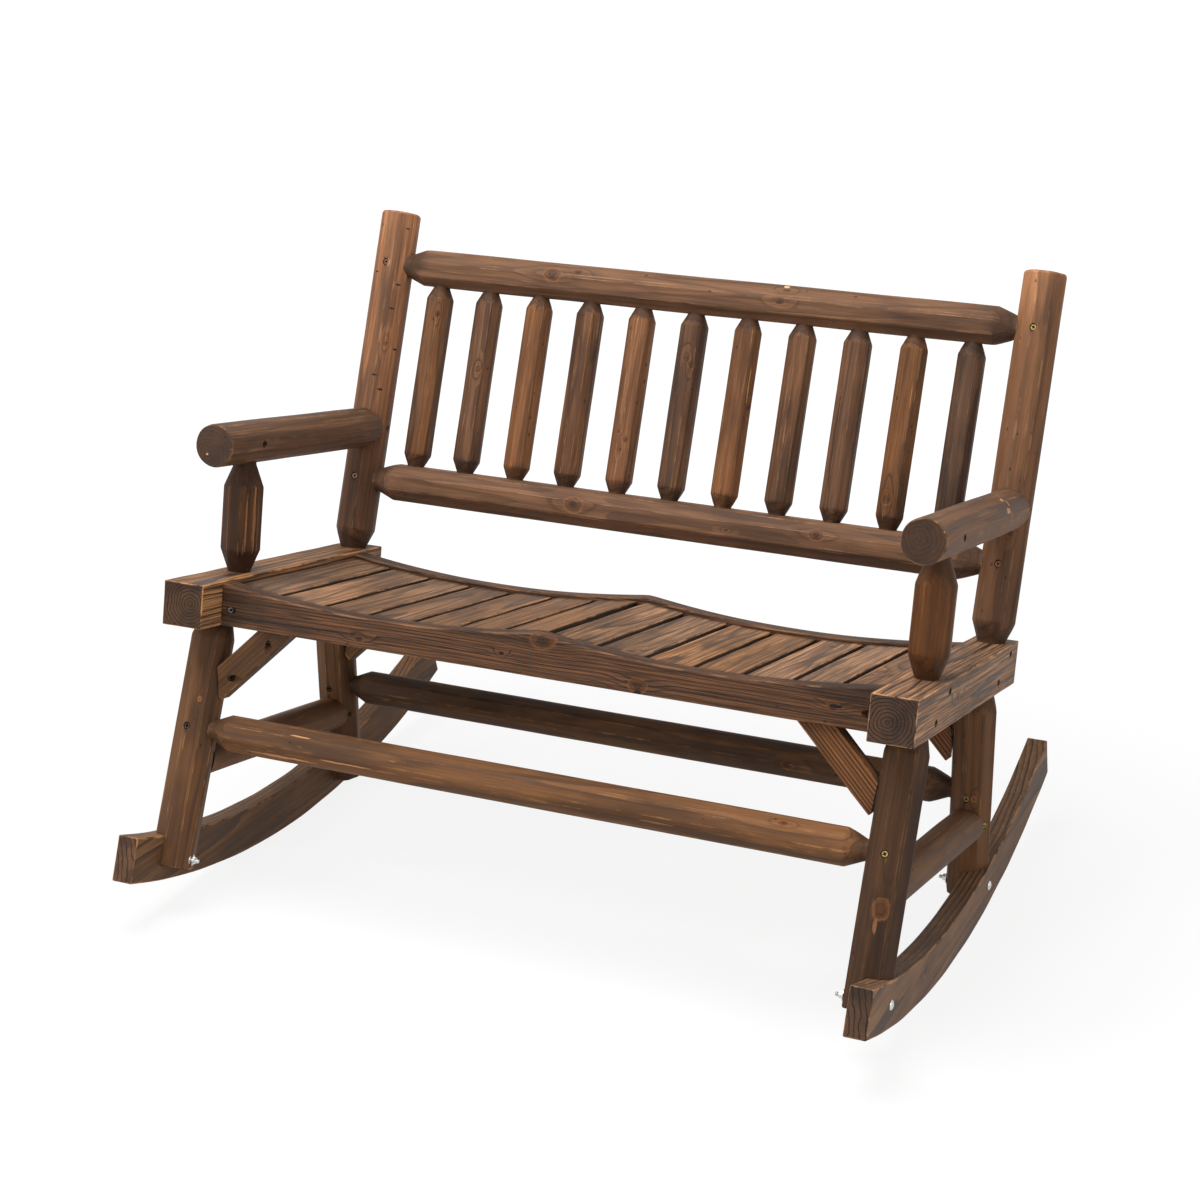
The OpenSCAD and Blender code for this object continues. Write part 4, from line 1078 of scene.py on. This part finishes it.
for name, side, arm_looks, gap, post_fir, post_tone, streaks in (
    ("left", -1, left_arm, LEFT_ARM_GAP, left_arm_post_fir, 0.85, arm_post_streaks),
    ("right", 1, right_arm, 0.0, right_arm_post_fir, 0.79, []),
):
    post_line = stand((side * SIDE_X + gap, POST_Y, 0.0), up_back)
    finished(
        name + "_arm", "log", "peeled_log", arm_fir,
        peeled(arm_profile, 100 + side, 6, 0.98, spread=12.0, pointed=0.0),
        stand((side * SIDE_X, ARM_BACK, ARM_HEIGHT), (0, -1, 0)), 100 + side, LOG_RADIUS, tone=1.05,
        warmth=0.93, cutters=[rod_mesh(post_line, SCOOP_RADIUS, 0.06, 0.36)], **arm_looks,
    )
    finished(
        name + "_arm_post", "log", "peeled_log", post_fir,
        peeled(arm_post_profile, 104 + side, flat_share=0.95, turn=8.0),
        stand((side * SIDE_X, ARM_POST_Y, ARM_POST_HALF), (0, 0, 1)), 104 + side, ARM_POST_RADIUS,
        pith=(0.004, 0.016), tone=post_tone, warmth=1.04, scars=streaks, tips=(0.048, 0.042),
    )

# Legs
# Four peeled logs splay to the front and rear. A pencil end goes up into the beam, and the
# outer half of each foot is sawn away, so that it laps over the rocker.

LEG_SPLAY = math.radians(13.5)
LEG_TOPS = {"front": (0.097, 1, 0.3676), "rear": (0.450, -1, 0.3251)}
LAP_X = 0.5294
ARC_Y, ARC_Z = 0.160, 0.9515
ROCKER_RADIUS = 1.400
ROCKER_TOP_RADIUS = 1.3335
LAP_ARC = np.linspace(-0.45, 0.55, 161)
CLEAR_X = SIDE_X + 0.08
CLEAR_RADIUS = ROCKER_RADIUS + 0.05


def leg_line(side, end_name):
    """Matrix that lays a leg, or a rod along it, with its top at the origin."""
    top_y, end, _ = LEG_TOPS[end_name]
    up = (0, end * math.sin(LEG_SPLAY), math.cos(LEG_SPLAY))
    return stand((side * SIDE_X, top_y, -BEAM), up)


def skinned(made, rings):
    """Fills in the faces from each closed ring of corners to the next, in a mesh in the making."""
    for one, two in zip(rings, rings[1:]):
        for k in range(len(one)):
            n = (k + 1) % len(one)
            made.faces.new((one[k], one[n], two[n], two[k]))


def lap_cutter(side):
    """Block between the outer face of a lap and the air beyond, below the top of the rocker."""
    made = bmesh.new()
    rows = []
    for radius in (ROCKER_TOP_RADIUS, CLEAR_RADIUS):
        for x in (LAP_X, CLEAR_X):
            rows.append([])
            for t in LAP_ARC:
                place = Vector((side * x, ARC_Y + radius * math.sin(t), ARC_Z - radius * math.cos(t)))
                rows[-1].append(made.verts.new(SEAT @ place))
    sections = list(zip(rows[0], rows[1], rows[3], rows[2]))
    skinned(made, sections)
    made.faces.new(sections[0][::-1])
    made.faces.new(sections[-1])
    bmesh.ops.recalc_face_normals(made, faces=made.faces)
    return mesh_from(made, "lap")


leg_fir = burnt_fir(
    "leg_fir", "7f5839", "5e402b", "33231a", 0.0060, 0.014, 0.45, 0.35, streaks=0.12, lines=0.15, fine=0.45,
    clouds=0.6, halo="b97d52", halo_share=0.75, core="8a5636", scar_colour="b98059",
)
knot_tail = (0.003, -0.0308, -0.256, (0.003, 0.003, 0.013))
leg_looks = {  # tone, knots, scars
    "front_right_leg": (0.46, [(0.0076, -0.0301, -0.233, 0.0085)], [knot_tail]),
    "front_left_leg": (0.97, [(0.012, -0.029, -0.12, 0.0025)], []),
    "rear_right_leg": (0.92, [(0.012, -0.029, -0.16, 0.003)], []),
    "rear_left_leg": (0.88, [], []),
}
for name, side in (("left", -1), ("right", 1)):
    for end_name, (_, end, length) in LEG_TOPS.items():
        node = f"{end_name}_{name}_leg"
        profile = [
            (-length, LOG_RADIUS - 0.0015), (-length + 0.0015, LOG_RADIUS), (-0.028, LOG_RADIUS),
            (0.0, 0.024), (0.008, 0.0217),
        ]
        tone, knots, scars = leg_looks[node]
        seed = 120 + 2 * side + end
        finished(
            node, "log", "peeled_log", leg_fir, peeled(profile, seed, flat_share=0.937, turn=16.0),
            leg_line(side, end_name), seed, LOG_RADIUS, pith=(0.005 * side, -0.006), tone=tone, warmth=0.98,
            knots=knots, scars=scars, tips=(0.0, 0.034), cutters=[lap_cutter(side)], rim_wear=1.0,
        )

# Stretchers
# A long pole joins the front legs and another the rear legs, both with pencil ends. Lower
# down, a short pole between each pair of legs is hollowed round them.

STRETCHER_RADIUS = 0.027
CROSS_DROP = 0.221
SIDE_DROP = 0.270


def leg_line_y(end_name, drop):
    top_y, end, _ = LEG_TOPS[end_name]
    return top_y - end * (drop - BEAM) * math.tan(LEG_SPLAY)


stretcher_fir = burnt_fir(
    "stretcher_fir", "825b3c", "5e412d", "35251b", 0.0058, 0.014, 0.45, 0.4,
    torn=0.8, bands=0.35, streaks=0.12, lines=0.15, fine=0.45, clouds=0.6, scar_colour="b5855f",
)
front_streaks = [
    (0.0165, -0.0205, -0.375, (0.0026, 0.0026, 0.055)),
    (0.008, -0.0248, -0.27, (0.0016, 0.0016, 0.045)),
    (-0.0175, -0.019, -0.345, (0.0014, 0.0014, 0.022)),
]
for end_name, seed, tone, knot, scars in (
    ("front", 141, (1.2, 1.0, 1.05, 1.35), (-0.0202, -0.0167, 0.383, 0.004), front_streaks),
    ("rear", 142, 0.66, (0.0025, -0.0261, 0.251, 0.0055), []),
):
    profile = pencil(RAIL_HALF, 0.006, 0.015, 0.027, STRETCHER_RADIUS)
    finished(
        end_name + "_stretcher", "pole", "peeled_log", stretcher_fir,
        peeled(profile, seed, 7, 0.955, turn=5.0, spread=10.0),
        stand((0.0, leg_line_y(end_name, CROSS_DROP), -CROSS_DROP), (1, 0, 0), (0, 0, -1)), seed,
        STRETCHER_RADIUS, pith=(0.004, 0.005), tone=tone, knots=[knot], scars=scars, tips=(0.03, 0.03),
    )
side_front, side_rear = leg_line_y("front", SIDE_DROP), leg_line_y("rear", SIDE_DROP)
side_half = (side_rear - side_front) / 2
for name, side in (("left", -1), ("right", 1)):
    side_profile = [(-side_half, STRETCHER_RADIUS), (side_half, STRETCHER_RADIUS)]
    finished(
        name + "_stretcher", "pole", "peeled_log", stretcher_fir,
        peeled(side_profile, 144 + side, 7, 0.98, spread=10.0, pointed=0.0),
        stand((side * SIDE_X, (side_front + side_rear) / 2, -SIDE_DROP), (0, -1, 0)), 144 + side,
        pith=(0.004, -0.004),
        cutters=[rod_mesh(leg_line(side, end_name), SCOOP_RADIUS, -0.32, -0.10) for end_name in LEG_TOPS],
    )

# Knee braces
# A short board stands aslant in each corner between apron and leg. Those on the right are
# sawn from young, fast-grown wood, so that broad orange and black stripes run down them.

BRACE_NEAR = 0.380
BRACE_WIDTH = 0.040
BRACE_THICK = 0.025
BRACE_LENGTH = 0.138
MITRE_LENGTH = 0.06
UNDRILLED = "front_right_brace"


def mitred(x, y, z):
    """Slides the upper end of a brace so that it lies flat against the beam's level."""
    return (x, y, z + max(0.0, 1.0 - z / MITRE_LENGTH) * x)


plain_brace_fir = burnt_fir(
    "plain_brace_fir", "80593a", "61432d", "1c110a", 0.0065, 0.003, 0.35, 0.3,
    pins=0.12, bands=0.35, streaks=0.2, ramp=0.2, lines=0.25, fine=0.6,
)
striped_brace_fir = burnt_fir(
    "striped_brace_fir", "a8744d", "805336", "1c110a", 0.0050, 0.003, 1.5, 0.1,
    pins=0.12, bands=0.1, streaks=0.2, ramp=0.5, lines=0.25, fine=0.6,
)
for name, side, brace_fir, tone in (
    ("left", -1, plain_brace_fir, 1.0),
    ("right", 1, striped_brace_fir, 0.72),
):
    for end_name, middle_y in (("front", 0.0735), ("rear", 0.4665)):
        node = f"{end_name}_{name}_brace"
        top_middle = (side * (BRACE_NEAR + BRACE_WIDTH / math.sqrt(2)), middle_y, -BEAM)
        seed = 160 + 3 * side + LEG_TOPS[end_name][1]
        board = reshaped(sawn(BRACE_WIDTH, BRACE_THICK, 0.0, BRACE_LENGTH, seed), mitred)
        reach = 0.0 if node == UNDRILLED else (BRACE_WIDTH / 2, BRACE_THICK / 2)
        finished(
            node, "board", "sawn_timber", brace_fir, board, stand(top_middle, (side, 0, -1), (side, 0, 1)),
            seed, reach, pith=(0.055, 0.004), tone=tone,
            cutters=[rod_mesh(leg_line(side, end_name), SCOOP_RADIUS, -0.27, 0.02)],
        )

# Rockers
# Two curved runners, sawn from wide boards, carry the bench. Their grain is straight, so
# that long stripes leave their curved edges. A bolt through each lap holds them to the legs.

ROCKER_MIDDLE_X = 0.5454
ROCKER_THICK = 0.032
ROCKER_SWEEP = math.radians(40.6)
ROCKER_AXES = Matrix(((-1, 0, 0), (0, 0, 1), (0, 1, 0))).to_4x4()
rocker_depth = ROCKER_RADIUS - ROCKER_TOP_RADIUS
rocker_half = ROCKER_SWEEP * ROCKER_RADIUS / 2


def bent(x, y, z):
    """Bends a straight board along the rocker's arc, in a frame with Z towards the rear."""
    radius = ROCKER_RADIUS - rocker_depth / 2 - y
    return (x, ROCKER_RADIUS - radius * math.cos(z / ROCKER_RADIUS), radius * math.sin(z / ROCKER_RADIUS))


rocker_fir = burnt_fir(
    "rocker_fir", "98704e", "644835", "2c1f17", 0.0085, 0.012, 1.0, 0.3,
    bands=0.2, streaks=0.25, ramp=0.7, lines=0.3, fine=0.6,
)
for name, side, warmth, end_tone, knots in (
    ("left", -1, 1.0, 1.65, []),
    ("right", 1, 0.93, 1.1, [(-0.016, 0.0606, -0.21, 0.009)]),
):
    seed = 180 + side
    runner = sawn(ROCKER_THICK, rocker_depth, -rocker_half, rocker_half, seed, ease=0.0018, step=0.009)
    finished(
        name + "_rocker", "runner", "sawn_timber", rocker_fir, reshaped(runner, bent),
        Matrix.Translation((side * ROCKER_MIDDLE_X, 0, 0)) @ ROCKER_AXES, seed, pith=(0.15, 0.08), tone=1.08,
        warmth=warmth, end_tone=end_tone, knots=knots,
    )

# Screws
# Wood screws, yellow or grey with zinc, sit at the bottoms of their holes. Each has a
# cross cut in its head and a thread on its shank.

SCREW_HEAD = [(0.0, 0.0042), (-0.0004, 0.0045), (-0.0012, 0.0043), (-0.003, 0.0023)]
RECESS_ARM, RECESS_SLOT, RECESS_DEPTH = 0.0027, 0.0009, 0.0016
SCREW_NECK, SCREW_POINT, SCREW_TIP = 0.0035, 0.003, 0.0002
SCREW_THREAD = (0.0016, 0.0017, 0.0024)
SCREW_TURN = 0.7
METAL_SHARP = 35.0
# The dark zinc is painted shade, for screw heads that sit deep in their holes.
YELLOW_ZINC, GREY_ZINC, HOLE_SHADED_ZINC, RUSTY_ZINC = (colour(c) for c in ("a8945c", "6e6e69", "4a4033", "80604d"))
# Near-black for the feet of the cross recesses: dirt and painted shade.
RECESS_DIRT_AND_SHADE = colour("0d0a07")
RIGHT_X, BACK_Y, BACK_Z = 0.4, 0.12, 0.47
LEG_TOP_Z, POST_HEAD_Z = 0.4, 0.7


def metal(name, roughness):
    """Plated steel, stained in patches, in the colour that each fastener carries: its plating, with painted
    shade on heads deep in their holes and in the cross recesses.
    """
    material, tree, shader = blank(name)
    place = tree.nodes.new("ShaderNodeTexCoord").outputs["Object"]
    stain = speckle(tree, place, (420.0, 420.0, 420.0), 3.0, 0.6)
    dulled = fade(tree, stain, 0.35, 0.7, 1.0, 0.6)
    plating_and_shade = blend(tree, 1.0, surface(tree, "plating_and_shade", "Color"), dulled, "MULTIPLY")
    feed(tree, shader.inputs["Base Color"], plating_and_shade)
    feed(tree, shader.inputs["Roughness"], fade(tree, stain, 0.3, 0.7, roughness, roughness + 0.2))
    shader.inputs["Metallic"].default_value = 1.0
    bumped(tree, shader, stain, 0.4, 0.0001)
    return material


def rings_of(made, matrix, profile, sides, flat=1.0):
    """Rings of corners about local Z from (height, radius) pairs, cut off by six flats this far out."""
    rings = []
    for z, most in profile:
        rings.append([])
        for t in np.linspace(0, 2 * math.pi, sides, endpoint=False):
            near = (t + math.pi / 6) % (math.pi / 3) - math.pi / 6
            r = min(flat / math.cos(near), most)
            rings[-1].append(made.verts.new(matrix @ Vector((r * math.cos(t), r * math.sin(t), z))))
    return rings


def thread(top, bottom, pitch, root, crest):
    """Profile of a thread from its top down, with the radii of its root and crest."""
    turns = []
    z = top
    while z > bottom:
        turns += [(z, root), (z - pitch / 2, crest)]
        z -= pitch
    return turns


def wood_screw(made, matrix, length):
    """A screw with the top of its head at the origin, down local Z. Gives the foot of its cross recess."""
    shank = thread(-SCREW_NECK, SCREW_POINT - length, *SCREW_THREAD)
    rings = rings_of(made, matrix, SCREW_HEAD + shank + [(-length, SCREW_TIP)], 16)
    skinned(made, rings[::-1])
    made.faces.new(rings[-1][::-1])
    outline = [(RECESS_ARM, -RECESS_SLOT), (RECESS_ARM, RECESS_SLOT), (RECESS_SLOT, RECESS_SLOT)]
    for _ in range(3):
        outline += [(-y, x) for x, y in outline[-3:]]
    rim = [made.verts.new(matrix @ Vector((x, y, 0.0))) for x, y in outline]
    foot = [made.verts.new(matrix @ Vector((x * 0.75, y * 0.8, -RECESS_DEPTH))) for x, y in outline]
    skinned(made, [foot, rim])
    made.faces.new(foot)
    edges = [made.edges.get(pair) for ring in (rings[0], rim) for pair in zip(ring, ring[1:] + ring[:1])]
    bmesh.ops.triangle_fill(made, use_beauty=True, use_dissolve=False, edges=edges)
    return foot


def tinted_mesh():
    made = bmesh.new()
    made.verts.layers.float_color.new("plating_and_shade")
    return made


def tinted(made, corners, tint):
    """Gives corners of a mesh in the making a colour, which is their plating, with painted shade on some."""
    layer = made.verts.layers.float_color["plating_and_shade"]
    for v in corners:
        v[layer] = tint


def ironware(name, node, material, made):
    bmesh.ops.recalc_face_normals(made, faces=made.faces)
    dressed(linked(name, mesh_from(made, name)), node, material, METAL_SHARP)


def screw_tint(node, head):
    """Colour of a screw by its place, from its plating and from painted shade.

    It is grey on the aprons, yellow on the seat, on the right legs and at the top of the right
    post, rusty on the rest of the posts, and dark everywhere else: painted shade for heads that sit deep in
    their holes.
    """
    if node == "apron_screws":
        return GREY_ZINC
    on_post = node == "pin_screws" and head.y > BACK_Y and head.z > BACK_Z
    on_right_leg = node == "pin_screws" and head.x > RIGHT_X and head.z < LEG_TOP_Z
    if node == "seat_screws" or on_right_leg or (on_post and head.x > RIGHT_X and head.z > POST_HEAD_Z):
        return YELLOW_ZINC
    return RUSTY_ZINC if on_post else HOLE_SHADED_ZINC


screw_zinc = metal("screw_zinc", 0.5)
for node, lines in screw_lines.items():
    made = tinted_mesh()
    for count, (head, way, length) in enumerate(lines):
        start = len(made.verts)
        foot = wood_screw(made, facing(head, way) @ Matrix.Rotation(SCREW_TURN * count, 4, "Z"), length)
        tinted(made, list(made.verts)[start:], screw_tint(node, head))
        # The foot of each cross recess is near-black: dirt, and painted shade in the recess.
        tinted(made, foot, RECESS_DIRT_AND_SHADE)
    ironware(node + "_threaded", node, screw_zinc, made)

# Rocker bolts
# Four round-headed bolts hold the rockers. On the inner side each has a washer and a
# hexagon nut, and a short end of thread stands out of it.

HEAD_RADIUS = 0.007
BOLT_RADIUS = 0.003
BORE_RADIUS = 0.0031
BOLT_END = 0.006
BOLT_THREADED, BOLT_TIP = 0.026, 0.0012
BOLT_THREAD = (0.001, 0.00262, BOLT_RADIUS)
BRIGHT_ZINC = colour("d9dad6")
NUT_HIGH = 0.005
NUT_FLAT = 0.005
WASHER_THICK = 0.0015
BOLT_HEAD = [
    (0.0, 0.0006), (-0.0002, 0.0022), (-0.0007, 0.0040), (-0.0014, 0.0055), (-0.0022, 0.0065),
    (-0.0030, HEAD_RADIUS), (-0.00302, BOLT_RADIUS),
]
WASHER = [
    (0.0, BORE_RADIUS), (0.0, 0.0083), (-0.0002, 0.0085), (-0.0013, 0.0085), (-WASHER_THICK, 0.0083),
    (-WASHER_THICK, BORE_RADIUS),
]
NUT = [
    (0.0, 0.0052), (-0.0004, 0.0060), (-0.0046, 0.0060), (-NUT_HIGH, 0.0052), (-NUT_HIGH, BORE_RADIUS),
    (0.0, BORE_RADIUS),
]
bolt_zinc = metal("bolt_zinc", 0.22)
bolts, washers, nuts = tinted_mesh(), tinted_mesh(), tinted_mesh()
for crown, way, length in fastener_lines("rocker_bolts"):
    at = facing(crown, way)
    turns = thread(BOLT_THREADED - length, BOLT_TIP - length, *BOLT_THREAD)
    profile = BOLT_HEAD + turns + [(-length + 0.0004, 0.0026), (-length, 0.0022)]
    shaft = rings_of(bolts, at, profile[::-1], 24)
    skinned(bolts, shaft)
    bolts.faces.new(shaft[0][::-1])
    bolts.faces.new(shaft[-1])
    nut_top = BOLT_END + NUT_HIGH - length
    for made, top, profile, sides, flat in (
        (washers, nut_top + WASHER_THICK, WASHER, 32, 1.0), (nuts, nut_top, NUT, 36, NUT_FLAT),
    ):
        rings = rings_of(made, at @ Matrix.Translation((0, 0, top)), profile, sides, flat)
        skinned(made, rings + rings[:1])
for made in (bolts, washers, nuts):
    tinted(made, made.verts, BRIGHT_ZINC)
ironware("rocker_bolts_threaded", "rocker_bolts", bolt_zinc, bolts)
ironware("bolt_washers_rounded", "bolt_washers", bolt_zinc, washers)
ironware("bolt_nuts_chamfered", "bolt_nuts", bolt_zinc, nuts)
